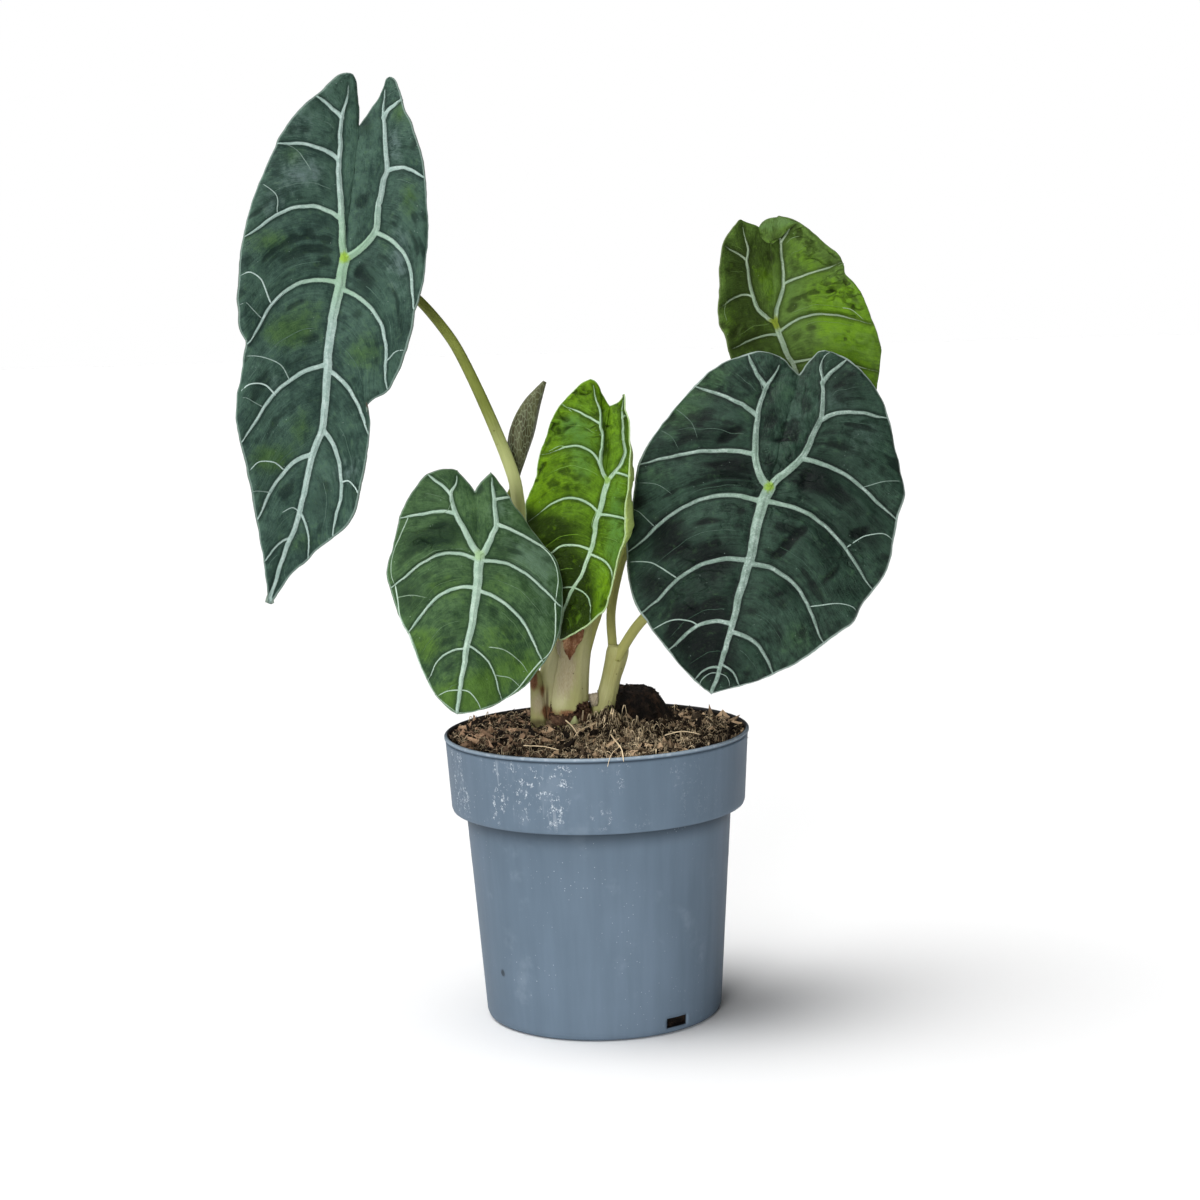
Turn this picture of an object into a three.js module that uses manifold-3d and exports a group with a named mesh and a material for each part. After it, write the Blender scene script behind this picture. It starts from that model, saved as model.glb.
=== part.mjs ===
// A potted prince of curup alocasia, in millimetres, +Z up.
// The origin is the centre of the pot's foot, and -Y is the side that the leaves face.
import * as THREE from 'three';
import { mergeVertices } from 'three/addons/utils/BufferGeometryUtils.js';
import Module from 'manifold-3d';

const wasm = await Module();
wasm.setup();

// Driving sizes
const gap = 0.3;
const pot = {
  height: 113, rimRadius: 60, collarHeight: 32, collarFootRadius: 57.9, shoulderRadius: 52.3,
  footRadius: 46.7, wall: 1.5, floor: 2.5, segments: 48,
  slots: 2, slotFirst: -0.93, slotWidth: 10, slotFoot: 1.5, slotTop: 6.5, slotDepth: 9,
};
const soil = { rimDrop: 1.4, crownRise: 4.2, moundHeight: 11.5, bump: 1.3, segments: 40 };
const blade = { thickness: 0.9, keel: 0.9, netGap: 0.4, netHeight: 0.7, netReach: 0.94 };
const rib = {
  midAtHeart: 4.4, midAtTip: 1.3, basalAtHeart: 3.6, basalAtLobe: 1.3, sideAtRib: 2.5, sideAtEdge: 1.3,
};

// The plant is laid out as an eye in front of it sees it: across and up in the plane through the pot's
// axis, then back from that plane.
const eye = { distance: 1025, downDegrees: 7.9, tiltDegrees: 1.7, aim: [2.9, 0, 164.3] };
const { degToRad } = THREE.MathUtils;
const eyeAxes = new THREE.Matrix4().makeRotationX(degToRad(90 - eye.downDegrees))
  .multiply(new THREE.Matrix4().makeRotationZ(degToRad(-eye.tiltDegrees)));
const eyePoint = new THREE.Vector3(0, 0, eye.distance).applyMatrix4(eyeAxes)
  .add(new THREE.Vector3(...eye.aim));

// The point at depth back behind the pot's axis that is seen at (across, up) from the point aimed at.
function seen(across, up, back) {
  const ray = new THREE.Vector3(across, up, -eye.distance).applyMatrix4(eyeAxes);
  return eyePoint.clone().addScaledVector(ray, (back - eyePoint.y) / ray.y);
}

// Turns a list of triangles into a closed geometry with shared vertices.
function geometryOf(vertices, triangles) {
  const g = new THREE.BufferGeometry();
  g.setAttribute('position', new THREE.Float32BufferAttribute(vertices.flatMap((v) => [v.x, v.y, v.z]), 3));
  g.setIndex(triangles.flat());
  return g;
}

function solidOf(geometry) {
  const bare = new THREE.BufferGeometry();
  bare.setAttribute('position', geometry.getAttribute('position').clone());
  if (geometry.index) bare.setIndex(geometry.index.clone());
  const merged = mergeVertices(bare, 1e-4);
  const vertProperties = new Float32Array(merged.attributes.position.array);
  const triVerts = new Uint32Array(merged.index.array);
  return new wasm.Manifold(new wasm.Mesh({ numProp: 3, vertProperties, triVerts }));
}

function geometryOfSolid(solid) {
  const m = solid.getMesh();
  const g = new THREE.BufferGeometry();
  g.setAttribute('position', new THREE.BufferAttribute(new Float32Array(m.vertProperties), 3));
  g.setIndex(new THREE.BufferAttribute(new Uint32Array(m.triVerts), 1));
  return g;
}

const plant = new THREE.Group();

function add(name, geometry, color, roughness) {
  const shaded = geometry.index ? geometry.toNonIndexed() : geometry;
  shaded.computeVertexNormals();
  const mesh = new THREE.Mesh(shaded, new THREE.MeshStandardMaterial({ color, roughness, metalness: 0 }));
  mesh.name = name;
  plant.add(mesh);
}

// A round stalk along points of [across, up, back, radius], with flat ends. It grows by extra all round.
function stalk(points, sides, steps, extra = 0) {
  const curve = new THREE.CatmullRomCurve3(points.map((p) => seen(p[0], p[1], p[2])));
  const frames = curve.computeFrenetFrames(steps, false);
  const radii = new THREE.SplineCurve(points.map((p, i) => new THREE.Vector2(i, p[3])));
  const vertices = [];
  for (let i = 0; i <= steps; i++) {
    const t = i / steps;
    const along = i === 0 ? -extra : i === steps ? extra : 0;
    const centre = curve.getPointAt(t).addScaledVector(curve.getTangentAt(t), along);
    const radius = radii.getPoint(curve.getUtoTmapping(t)).y + extra;
    for (let k = 0; k < sides; k++) {
      const angle = (2 * Math.PI * k) / sides;
      vertices.push(centre.clone()
        .addScaledVector(frames.normals[i], radius * Math.cos(angle))
        .addScaledVector(frames.binormals[i], radius * Math.sin(angle)));
    }
  }
  const triangles = [];
  for (let i = 0; i < steps; i++) {
    for (let k = 0; k < sides; k++) {
      const a = i * sides + k;
      const b = i * sides + ((k + 1) % sides);
      triangles.push([a, b, b + sides], [a, b + sides, a + sides]);
    }
  }
  const last = steps * sides;
  for (let k = 1; k < sides - 1; k++) {
    triangles.push([0, k + 1, k], [last, last + k, last + k + 1]);
  }
  return geometryOf(vertices, triangles);
}

// Pot: a thin moulded cup with a stepped collar, a flat foot and drain slots cut through the foot's corner
function potGeometry() {
  const { height, rimRadius, collarHeight, collarFootRadius, shoulderRadius, footRadius } = pot;
  const { wall, floor, slots, slotFirst, slotWidth, slotFoot, slotTop, slotDepth } = pot;
  const step = height - collarHeight;
  const outline = [
    [0, 0], [footRadius - 2, 0], [footRadius, 2],
    [shoulderRadius, step - 0.6], [collarFootRadius - 1.4, step], [collarFootRadius, step + 1.6],
    [rimRadius - 0.6, height - 2.4], [rimRadius, height - 1.8], [rimRadius - 0.2, height],
    [rimRadius - wall, height], [collarFootRadius - wall, step + 2.2], [shoulderRadius - wall, step + 1.2],
    [footRadius - wall, floor], [0, floor],
  ].map(([r, z]) => new THREE.Vector2(r, z));
  const cup = new THREE.LatheGeometry(outline, pot.segments);
  cup.rotateX(Math.PI / 2);
  let solid = solidOf(cup);
  for (let k = 0; k < slots; k++) {
    const cutter = new THREE.BoxGeometry(slotDepth, slotWidth, slotTop - slotFoot);
    cutter.translate(footRadius + 3 - slotDepth / 2, 0, (slotTop + slotFoot) / 2);
    cutter.rotateZ(slotFirst + (2 * Math.PI * k) / slots);
    solid = solid.subtract(solidOf(cutter));
  }
  return geometryOfSolid(solid);
}

// Stems: the sheathing leaf bases that stand in the soil, as [across, up, back, radius]
const sheaths = {
  main: [[-11, -57, 6, 8.4], [-10.5, -45, 6, 7.9], [-10, -33, 6, 7.5], [-9, -23, 5.6, 7],
    [-7, -15, 4.6, 6], [-4.8, -9, 3.2, 4.9]],
  left: [[-18, -54, 5.4, 5], [-17.6, -42, 5, 5.4], [-17.4, -31, 5, 5.2], [-16.6, -23, 5, 4.4],
    [-15.6, -17, 5, 3]],
  behind: [[-15, -50, 12, 4.5], [-16.5, -32, 12, 4.6], [-18.2, -19, 11, 4.3], [-19.4, -12, 10.4, 3.7]],
  right: [[0.6, -57, 8, 5.6], [0.8, -46, 8, 5], [3, -37, 8, 4], [4.6, -30, 8, 3.8], [6, -24.5, 8, 4.2],
    [6.8, -20.5, 8, 4.4], [7.2, -18, 8, 4.1]],
  rolled: [[-17, -54, 15, 3.4], [-18.6, -38, 16.4, 3.1], [-20.4, -26, 17.4, 2.6]],
  low: [[-24.5, -58, 3, 3.8], [-24.6, -45, 2.4, 3.6], [-24.9, -35, 1.2, 3.3], [-25.4, -29, 0.4, 2.8]],
  corm: [[-30, -59, 4, 3], [-22, -60, 5, 5], [-11, -60, 6, 7.5], [0, -59, 7, 6], [6, -58, 8, 3]],
};

// Petioles, from the socket in the sheath to just short of the heart of the blade, which ends each of them
const petioles = {
  tall: [[-17.5, -27, 12, 2.9], [-18.6, -17, 11, 2.9], [-21.5, -4, 9, 2.8], [-26.5, 15.5, 8, 2.7],
    [-31.5, 36, 7, 2.6], [-34, 49, 6, 2.5], [-42.5, 70.5, 5, 2.3], [-53.5, 94, 3, 2.1],
    [-61, 106, 1, 2], [-72, 118.5, -2, 1.8], [-84, 127.5, -6, 1.7], [-94, 132, -11, 1.7]],
  low: [[-25, -37, 1.4, 1.9], [-25.6, -29, 0.5, 2], [-29, -14, -6, 1.9], [-35, 3, -18, 1.8],
    [-42, 13.5, -31, 1.7]],
  young: [[-6.6, -22, 4.4, 3.6], [-4.4, -12, 3, 3.6], [-1.4, -2, 0, 3], [1.6, 15.5, -5, 2.2],
    [4, 32, -9, 1.9], [4.4, 43, -13.6, 1.8]],
  wide: [[6.6, -23.5, 5.4, 2], [9.4, -18, 4.6, 2], [15.4, -9.2, 3, 2], [26, 1.5, -1, 2],
    [40, 14.5, -8, 1.9], [54, 32, -15, 1.8], [62, 41, -20, 1.7]],
  back: [[5, -24.5, 10.6, 1.8], [4.9, -18, 11, 1.8], [4.5, -3, 13, 1.8], [9, 17, 19, 1.8],
    [15, 28, 23, 1.8], [28, 48, 31, 1.8], [48, 78, 38, 1.7], [60, 97, 39, 1.6], [66, 105, 36, 1.6]],
  spear: [[-19.2, -33, 17, 1.5], [-20.6, -25, 17.6, 1.5], [-24, -10, 18, 1.6], [-31, 12, 17, 1.6],
    [-35, 30, 15.4, 1.6], [-35.6, 39, 14.6, 1.6], [-33.2, 44.6, 14.4, 1.6]],
};
const heartBehind = 2.5;
const sheathSides = 10;
const sheathSteps = 6;
const petioleSides = 8;

// Blades. Each is laid out from its heart, where the petiole meets it: right and up as seen from the front.
// ribVeins leave the basal rib and midVeins the midrib: [from right, from up, to right, to up, bow].
const leaves = {
  tall: {
    heart: [-100.3, 134], back: -18, across: 3, color: 0x2f5a3c,
    lean: 0.27, tipBend: 17, lobeBend: 4, turn: 0.08, quilt: 1.5, valley: 3,
    midrib: [[0, 0], [-2, -13], [-4.5, -23.5], [-6, -36.5], [-8, -64.5], [-12, -76.5], [-18, -102],
      [-23, -115.5], [-28, -131], [-29, -135.5]],
    notch: [6, 52.5],
    left: {
      rise: 7, wave: 2.8, waves: 3, swell: 0,
      rib: [[2.5, 73], [1.5, 64.5], [-1, 55], [-1.5, 45], [-2, 37.5], [-1.5, 28], [-1, 15], [0, 0]],
      margin: [[2.5, 73], [-8, 67], [-18.5, 57.5], [-26.5, 44.5], [-36.5, 21], [-41, -4.5], [-41, -26],
        [-38.5, -33], [-39.5, -39.5], [-42.5, -61], [-38, -82.5], [-33.5, -106], [-30, -128.5],
        [-29, -135.5]],
      inner: [[2.5, 73], [5, 64], [6, 52.5]],
      ribVeins: [[-1, 55, -11.5, 65, 0.5], [-2, 38, -26, 44.5, 3], [-2, 15, -39, 8, 8]],
      midVeins: [[-4, -10, -38.5, -34, 9.5], [-8, -41.5, -39.5, -72.5, 5.5],
        [-12.5, -77, -34, -103, 4.5], [-21.5, -109.5, -31, -119, 1.2]],
    },
    right: {
      rise: 11, wave: 3.2, waves: 3, swell: 0,
      rib: [[18, 71.5], [15.5, 66], [15.5, 55], [16, 45], [17, 35], [15.5, 30], [13.5, 20], [12, 10.5],
        [5.5, 3], [0, 0]],
      margin: [[18, 71.5], [26, 53], [31, 37], [33, 11.5], [31.5, -6], [27.5, -21], [24, -37],
        [18, -51], [11.5, -55.5], [9, -59], [10, -64.5], [7.5, -84], [2.5, -102.5], [-8, -112.5],
        [-20.5, -124], [-29, -135.5]],
      inner: [[18, 71.5], [11, 62], [6, 52.5]],
      ribVeins: [[16, 55, 22.5, 62.5, 0.5], [17, 34, 31, 31.5, 2.5], [12, 10, 27.5, -21, 7]],
      midVeins: [[-2, -12, 17, -52, 9], [-6, -44, 10, -69, 3.4], [-8, -67, -4.5, -109, 5.5],
        [-17, -100, -14, -118, 2]],
    },
  },
  low: {
    heart: [-47.4, 17.6], back: -42, across: 2, color: 0x47733c,
    lean: 0.42, tipBend: 8, lobeBend: 4, turn: 0.12, quilt: 1, valley: 1.5,
    midrib: [[0, 0], [-1, -13.5], [-3, -27], [-5, -38], [-7, -49.5], [-8.5, -62.5]],
    notch: [-1.5, 25],
    left: {
      rise: -5, wave: 1.4, waves: 2, swell: 0,
      rib: [[-8.5, 33.5], [-9, 28], [-11, 23.5], [-9.5, 17], [-6.5, 10.5], [0, 0]],
      margin: [[-8.5, 33.5], [-14, 34], [-20.5, 31.5], [-26.5, 24.5], [-31, 15.5], [-33.5, 4.5],
        [-36.5, -6.5], [-34, -15.5], [-31, -25], [-26.5, -34], [-21, -48.5], [-15.5, -57],
        [-8.5, -62.5]],
      inner: [[-8.5, 33.5], [-4.5, 29.5], [-1.5, 25]],
      ribVeins: [[-11, 23.5, -20, 31.5, 0.5], [-9, 16, -31, 14, 1.6]],
      midVeins: [[-0.2, -2.5, -35.5, -13.5, 7], [-1, -13, -28.5, -31, 5.6],
        [-5, -36.5, -20.5, -49.5, 3.6], [-7, -50, -13.5, -59, 1.2]],
    },
    right: {
      rise: -5, wave: 1.4, waves: 2, swell: 0,
      rib: [[4.5, 32.5], [5.5, 25], [6, 20], [6.8, 12.5], [5, 8], [2.5, 2.2], [0, 0]],
      margin: [[4.5, 32.5], [10, 26], [18.5, 13.5], [25.5, 4.5], [31, -2.5], [33, -13.5], [32.5, -24.5],
        [29.5, -36], [24, -44.5], [18.5, -51.5], [8.5, -57.5], [0.5, -61], [-8.5, -62.5]],
      inner: [[4.5, 32.5], [1, 28.5], [-1.5, 25]],
      ribVeins: [[6, 21.5, 12.2, 23, 0.2], [6.8, 12, 27.5, 2, 0.6]],
      midVeins: [[0, -2.5, 31.5, -21, 5.2], [-1, -14, 25.5, -42, 5.2], [-4.5, -35, 9.5, -57, 3],
        [-7, -48.5, -1.5, -60.5, 1]],
    },
  },
  young: {
    heart: [2.7, 47], back: -20, across: 2, color: 0x6fae1e,
    lean: 0.26, tipBend: 7, lobeBend: 5, turn: -0.25, quilt: 1.1, valley: 3,
    midrib: [[0, 0], [-2.7, -12], [-4, -16], [-5.5, -24], [-9, -35], [-12.5, -41.5], [-15.5, -47],
      [-17, -52], [-19, -62.5]],
    notch: [1.5, 29],
    left: {
      rise: -4, wave: 1.2, waves: 3, swell: 0,
      rib: [[-6.5, 39.5], [-4, 31.5], [-2.5, 27], [-2.6, 21], [-1.6, 17], [-2.5, 9], [-1.5, 3], [0, 0]],
      margin: [[-6.5, 39.5], [-10, 37.5], [-14, 33.5], [-19.5, 28], [-22.5, 21.5], [-26.5, 10],
        [-27.5, 3], [-30.5, -5], [-32, -10], [-31.5, -17.5], [-30.5, -31], [-28, -45], [-24, -56],
        [-19, -62.5]],
      inner: [[-6.5, 39.5], [-1.5, 35], [1.5, 29]],
      ribVeins: [[-2.6, 22, -17.5, 29.5, 0.4], [-2, 5, -26.5, 9.5, 6.5]],
      midVeins: [[-3.5, -13, -31.5, -16.5, 7.5], [-6.5, -27.5, -29.5, -38, 6],
        [-12.5, -42, -25, -53.5, 3.5]],
    },
    right: {
      rise: 21, wave: 0.8, waves: 3, swell: 6.4,
      rib: [[6, 33.5], [6, 24.5], [6.5, 17], [7, 11], [4.5, 5], [0, 0]],
      margin: [[6, 33.5], [6.5, 28], [8, 22.5], [8.5, 13], [8, 5], [8, -2.5], [6.5, -11], [6.5, -22],
        [4.5, -28], [3, -34.5], [1.5, -41], [-1, -50], [-4, -53], [-8.5, -57], [-14, -60.5],
        [-19, -62.5]],
      inner: [[6, 33.5], [4.2, 30.6], [1.5, 29]],
      ribVeins: [[6.2, 24, 7.4, 25.5, 0.1], [3.2, 3.4, 8, -1, 0.5]],
      midVeins: [[-3.2, -13.6, 6.5, -20, 1.5], [-6.8, -29, 1.5, -41, 2], [-12.5, -42, -6.5, -55.5, 3]],
    },
  },
  wide: {
    heart: [66.2, 44.3], back: -27, across: 3, color: 0x24483a,
    lean: 0.34, tipBend: 10, lobeBend: 6, turn: -0.1, quilt: 1.7, valley: 2.5,
    midrib: [[0, 0], [-2.5, -6.5], [-5.5, -19], [-8, -30], [-12, -44], [-14.5, -55], [-17.5, -64.5],
      [-22.5, -81.5]],
    notch: [11.8, 44.2],
    left: {
      rise: -8, wave: 2.4, waves: 3, swell: 0,
      rib: [[4.5, 51.5], [3, 45.5], [-1, 39], [-4.5, 28], [-5.5, 19], [-5.5, 10], [-2.5, 3], [0, 0]],
      margin: [[4.5, 51.5], [-3.5, 53.5], [-13, 51], [-22.5, 46], [-30, 39], [-39.5, 28], [-47, 18],
        [-51.5, 8], [-53.5, -5], [-56, -22], [-55.5, -33.5], [-53, -44.5], [-47, -55], [-39.5, -64.5],
        [-31, -74.5], [-22.5, -81.5]],
      inner: [[4.5, 51.5], [6.5, 50], [9, 46.8], [11.8, 44.2]],
      ribVeins: [[-1, 39, -8.5, 52.3, -0.6], [-5, 28, -29.5, 39.5, 1.5], [-5.5, 12.5, -51, 8.5, 3.2]],
      midVeins: [[-2.5, -6.5, -56, -26, 10], [-7.5, -29, -50.5, -50, 7], [-14, -54, -40, -64.5, 4.6],
        [-19.5, -71, -29.5, -76, 2]],
    },
    right: {
      rise: -7, wave: 2.6, waves: 3, swell: 0,
      rib: [[21.5, 53.5], [20.8, 46], [21, 41], [20.8, 30], [17.5, 21], [12.5, 11.5], [3, 3], [0, 0]],
      margin: [[21.5, 53.5], [28, 52], [36.5, 45.5], [43, 37], [47, 27.5], [50, 14], [53.5, 0],
        [52.5, -6.5], [50, -14.5], [48.5, -24], [46, -33.5], [41, -41], [36.5, -46.5], [32.5, -53.5],
        [21, -62], [10, -69.5], [-1.5, -75], [-13, -79], [-22.5, -81.5]],
      inner: [[21.5, 53.5], [18.4, 52.8], [15, 49], [11.8, 44.2]],
      ribVeins: [[21, 41, 31, 50, 0.6], [20, 26, 47, 27, 2.8], [12.5, 11, 50.5, -13, 4]],
      midVeins: [[-2, -6, 41.5, -41, 7.8], [-8, -30, 21.5, -61.5, 7.6], [-14.5, -57, 2, -73.5, 3.9],
        [-18.5, -69.5, -11, -78.5, 1.6]],
    },
  },
  back: {
    heart: [68.5, 108.5], back: 27, across: 2, color: 0x5f9a24,
    lean: 0.2, tipBend: 10, lobeBend: -5, turn: 0.16, quilt: 1.3, valley: 7,
    midrib: [[0, 0], [2.5, -6.5], [5, -13], [7.5, -17], [11, -30], [13.5, -46], [14.5, -57.5],
      [14.5, -68]],
    notch: [-1.5, 31.5],
    left: {
      rise: 20, wave: 1.2, waves: 2, swell: 0,
      rib: [[-13, 40.5], [-12, 34], [-10.5, 28], [-11, 24], [-10.5, 20.5], [-9.5, 13.5], [-7.5, 7],
        [-3.5, 2.5], [0, 0]],
      margin: [[-13, 40.5], [-18.5, 33.5], [-20.5, 26], [-21.5, 13.5], [-21.5, 0.5], [-19.5, -4.5],
        [-17, -12], [-13.5, -24.5], [-7, -40], [2, -56], [14.5, -68]],
      inner: [[-13, 40.5], [-6.5, 37.5], [-1.5, 31.5]],
      ribVeins: [[-11, 24.5, -19, 30, 0.3], [-8.7, 10, -21.3, 5.5, 2.4]],
      midVeins: [[1.5, -5, -18, -11, 1.6], [7, -18, -9, -36, 4], [12, -36, -0.5, -52, 3],
        [13.8, -49, 7.5, -61.5, 1.5]],
    },
    right: {
      rise: 9, wave: 1.5, waves: 3, swell: 0,
      rib: [[0.5, 41.5], [1.5, 36], [2.5, 30.5], [3, 23], [3.5, 15], [2, 10], [0.5, 3], [0, 0]],
      margin: [[0.5, 41.5], [5.5, 41], [10, 39], [15.5, 35], [21.5, 30], [25.5, 25], [30.5, 16],
        [35.5, 6], [39, -1], [41, -6.5], [41.5, -13], [40, -25.5], [36.5, -38], [29.5, -52],
        [21.5, -63.5], [14.5, -68]],
      inner: [[0.5, 41.5], [-2.5, 37], [-1.5, 31.5]],
      ribVeins: [[2.5, 31, 7.8, 40, 0.3], [3.6, 15, 26.3, 23.6, 0.8]],
      midVeins: [[1.6, -4, 38, -0.5, 6], [6.5, -15.5, 41, -19, 2.6], [11, -31, 35.5, -41, 3.6],
        [13.6, -47, 25.5, -58.5, 2]],
    },
  },
};

const between = THREE.MathUtils.lerp;

function curveOf(points) {
  const curve = new THREE.SplineCurve(points.map(([x, y]) => new THREE.Vector2(x, y)));
  curve.arcLengthDivisions = 400;
  return curve;
}

// How far along a curve, from 0 to 1, its nearest point to (x, y) lies.
function nearest(curve, x, y) {
  const target = new THREE.Vector2(x, y);
  const count = 400;
  const away = (i) => curve.getPointAt(i / count).distanceTo(target);
  let best = 0;
  for (let i = 1; i <= count; i++) {
    if (away(i) < away(best)) best = i;
  }
  return best / count;
}

// The rows of one half of a blade, from the lobe's end past the heart to the tip. A row is a line from the
// rib to the margin: a side vein has one along each of its edges, and one more lies between two veins.
function rowsOf(leaf, side) {
  const curves = { rib: curveOf(side.rib), mid: curveOf(leaf.midrib), margin: curveOf(side.margin) };
  const edgeStep = rib.sideAtEdge / 2 / curves.margin.getLength();
  const veinRows = (veins, name) => veins.map(([x0, y0, x1, y1, bow]) => {
    const curve = curves[name];
    const step = rib.sideAtRib / 2 / curve.getLength();
    const from = THREE.MathUtils.clamp(nearest(curve, x0, y0), 1.4 * step, 1 - 1.4 * step);
    const to = nearest(curves.margin, x1, y1);
    return [
      { name, along: from - step, edge: to - edgeStep, bow, quilt: 0, vein: true },
      { name, along: from + step, edge: to + edgeStep, bow, quilt: 0 },
    ];
  });
  const middle = (a, b) => ({
    name: a.name,
    along: (a.along + b.along) / 2,
    edge: (a.edge + b.edge) / 2,
    bow: (a.bow + b.bow) / 2,
    quilt: 1,
  });
  const ribPairs = veinRows(side.ribVeins, 'rib');
  const midPairs = veinRows(side.midVeins, 'mid');
  const above = ribPairs[ribPairs.length - 1][1];
  const below = midPairs[0][0];
  const toHeart = (1 - above.along) * curves.rib.getLength();
  const share = toHeart / (toHeart + below.along * curves.mid.getLength());
  const heart = {
    edge: between(above.edge, below.edge, share), bow: between(above.bow, below.bow, share), quilt: 0.7,
  };
  const rows = [{ name: 'rib', along: 0, edge: 0, bow: 0, quilt: 0 }];
  const fill = (next) => rows.push(middle(rows[rows.length - 1], next), next);
  for (const [first, second] of ribPairs) {
    fill(first);
    rows.push(second);
  }
  fill({ ...heart, name: 'rib', along: 1 });
  const heartRow = rows.length - 1;
  rows.push(middle({ ...heart, name: 'mid', along: 0 }, below));
  midPairs.forEach(([first, second], i) => {
    if (i) fill(first);
    else rows.push(first);
    rows.push(second);
  });
  fill({ name: 'mid', along: 1, edge: 1, bow: 0, quilt: 0 });
  return { rows, curves, heartRow };
}

// Half the width of the rib at a row.
function ribHalfWidth(row) {
  if (row.name === 'rib') return between(rib.basalAtLobe, rib.basalAtHeart, row.along) / 2;
  return between(rib.midAtHeart, rib.midAtTip, row.along) / 2;
}

// The blade as a sheet of triangles: each has three corners, and says if it is vein.
function sheetOf(leaf) {
  const triangles = [];
  const tip = new THREE.Vector2(...leaf.midrib[leaf.midrib.length - 1]);
  const length = tip.length();
  const axis = tip.clone().divideScalar(length);
  const lobe = Math.hypot(...leaf.left.rib[0]);
  const baseBack = (p) => {
    const along = p.dot(axis);
    const aside = p.cross(axis) * -1;
    const bend = along > 0 ? leaf.tipBend * (along / length) ** 2 : leaf.lobeBend * (along / lobe) ** 2;
    return leaf.back - leaf.lean * along + leaf.turn * aside + bend;
  };
  const put = (p, forward) => seen(leaf.heart[0] + p.x, leaf.heart[1] + p.y, baseBack(p) - forward);
  const quad = (corners, flip, vein) => {
    const [a, b, c, d] = corners;
    const pair = flip ? [[a, c, b], [a, d, c]] : [[a, b, c], [a, c, d]];
    for (const corner of pair) triangles.push({ corner, vein });
  };
  const halves = [leaf.left, leaf.right].map((side) => rowsOf(leaf, side));
  const { heartRow } = halves[0];
  const notch = new THREE.Vector2(...leaf.notch);
  [leaf.left, leaf.right].forEach((side, h) => {
    const { rows, curves } = halves[h];
    const outward = h ? 1 : -1;
    const other = halves[1 - h].rows;
    const steps = leaf.across;
    // The outer part, from the rib to the margin.
    const grid = rows.map((row, i) => {
      const shared = row.name === 'mid' ? (row.along + other[i].along) / 2 : row.along;
      const centre = curves[row.name].getPointAt(shared);
      const start = curves[row.name].getPointAt(row.along);
      const end = curves.margin.getPointAt(THREE.MathUtils.clamp(row.edge, 0, 1));
      const reach = end.clone().sub(start);
      const sideways = new THREE.Vector2(-reach.y, reach.x).normalize().multiplyScalar(outward * row.bow);
      const env = Math.sin(Math.PI * THREE.MathUtils.clamp(row.edge, 0, 1)) ** 0.6;
      sideways.x += outward * side.swell * env;
      const spread = Math.hypot(reach.length(), side.rise * env);
      const ribShare = spread > 0 ? Math.min(ribHalfWidth(row) / spread, 0.4) : 0;
      const shares = [0, ribShare];
      for (let k = 1; k <= steps; k++) shares.push(between(ribShare, blade.netReach, k / steps));
      shares.push(1);
      return shares.map((t, j) => {
        const hump = 4 * t * (1 - t);
        const p = (j ? start : centre).clone()
          .addScaledVector(reach, j ? t : 0)
          .addScaledVector(sideways, hump);
        const ripple = side.wave * t ** 3 * Math.sin(2 * Math.PI * side.waves * row.edge) * env;
        return put(p, side.rise * env * t ** 1.5 + ripple + leaf.quilt * row.quilt * hump * env);
      });
    });
    for (let i = 0; i + 1 < rows.length; i++) {
      const ends = i === 0 || i + 2 === rows.length;
      for (let j = 0; j + 1 < grid[i].length; j++) {
        const vein = !ends && (j === 0 || (Boolean(rows[i].vein) && j <= steps));
        quad([grid[i][j], grid[i][j + 1], grid[i + 1][j + 1], grid[i + 1][j]], h === 1, vein);
      }
    }
    // The inner part, from the basal rib to the lobe's inner margin and the line from notch to heart.
    const inner = curveOf(side.inner);
    const toNotch = Math.round(heartRow * 0.55);
    const innerGrid = rows.slice(0, heartRow + 1).map((row, i) => {
      const start = curves.rib.getPointAt(row.along);
      const end = i <= toNotch
        ? inner.getPointAt(i / toNotch)
        : notch.clone().multiplyScalar((heartRow - i) / (heartRow - toNotch));
      const reach = end.clone().sub(start);
      const ribShare = reach.length() > 0 ? Math.min(ribHalfWidth(row) / reach.length(), 0.42) : 0;
      return [0, ribShare, (1 + ribShare) / 2, 1].map((t) => {
        const p = start.clone().addScaledVector(reach, t);
        const puff = leaf.quilt * 0.6 * 4 * t * (1 - t) * Math.min(1, reach.length() / 8);
        return put(p, puff - leaf.valley * t * Math.sin((Math.PI * i) / heartRow));
      });
    });
    for (let i = 0; i < heartRow; i++) {
      for (let j = 0; j < 3; j++) {
        quad([innerGrid[i][j], innerGrid[i][j + 1], innerGrid[i + 1][j + 1], innerGrid[i + 1][j]],
          h === 0, i > 0 && j === 0);
      }
    }
  });
  return triangles;
}

// Joins the sheet's corners by place, drops triangles without area, and finds each corner's normal.
function joined(sheet) {
  const vertices = [];
  const places = new Map();
  const indexOf = (v) => {
    const key = [v.x, v.y, v.z].map((x) => Math.round(x * 200)).join();
    if (!places.has(key)) places.set(key, vertices.push(v) - 1);
    return places.get(key);
  };
  const triangles = [];
  for (const { corner, vein } of sheet) {
    const [a, b, c] = corner.map(indexOf);
    if (a !== b && b !== c && c !== a) triangles.push({ at: [a, b, c], vein });
  }
  const normals = vertices.map(() => new THREE.Vector3());
  for (const { at: [a, b, c] } of triangles) {
    const face = vertices[b].clone().sub(vertices[a]).cross(vertices[c].clone().sub(vertices[a]));
    for (const k of [a, b, c]) normals[k].add(face);
  }
  normals.forEach((n) => n.normalize());
  return { vertices, triangles, normals };
}

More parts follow.
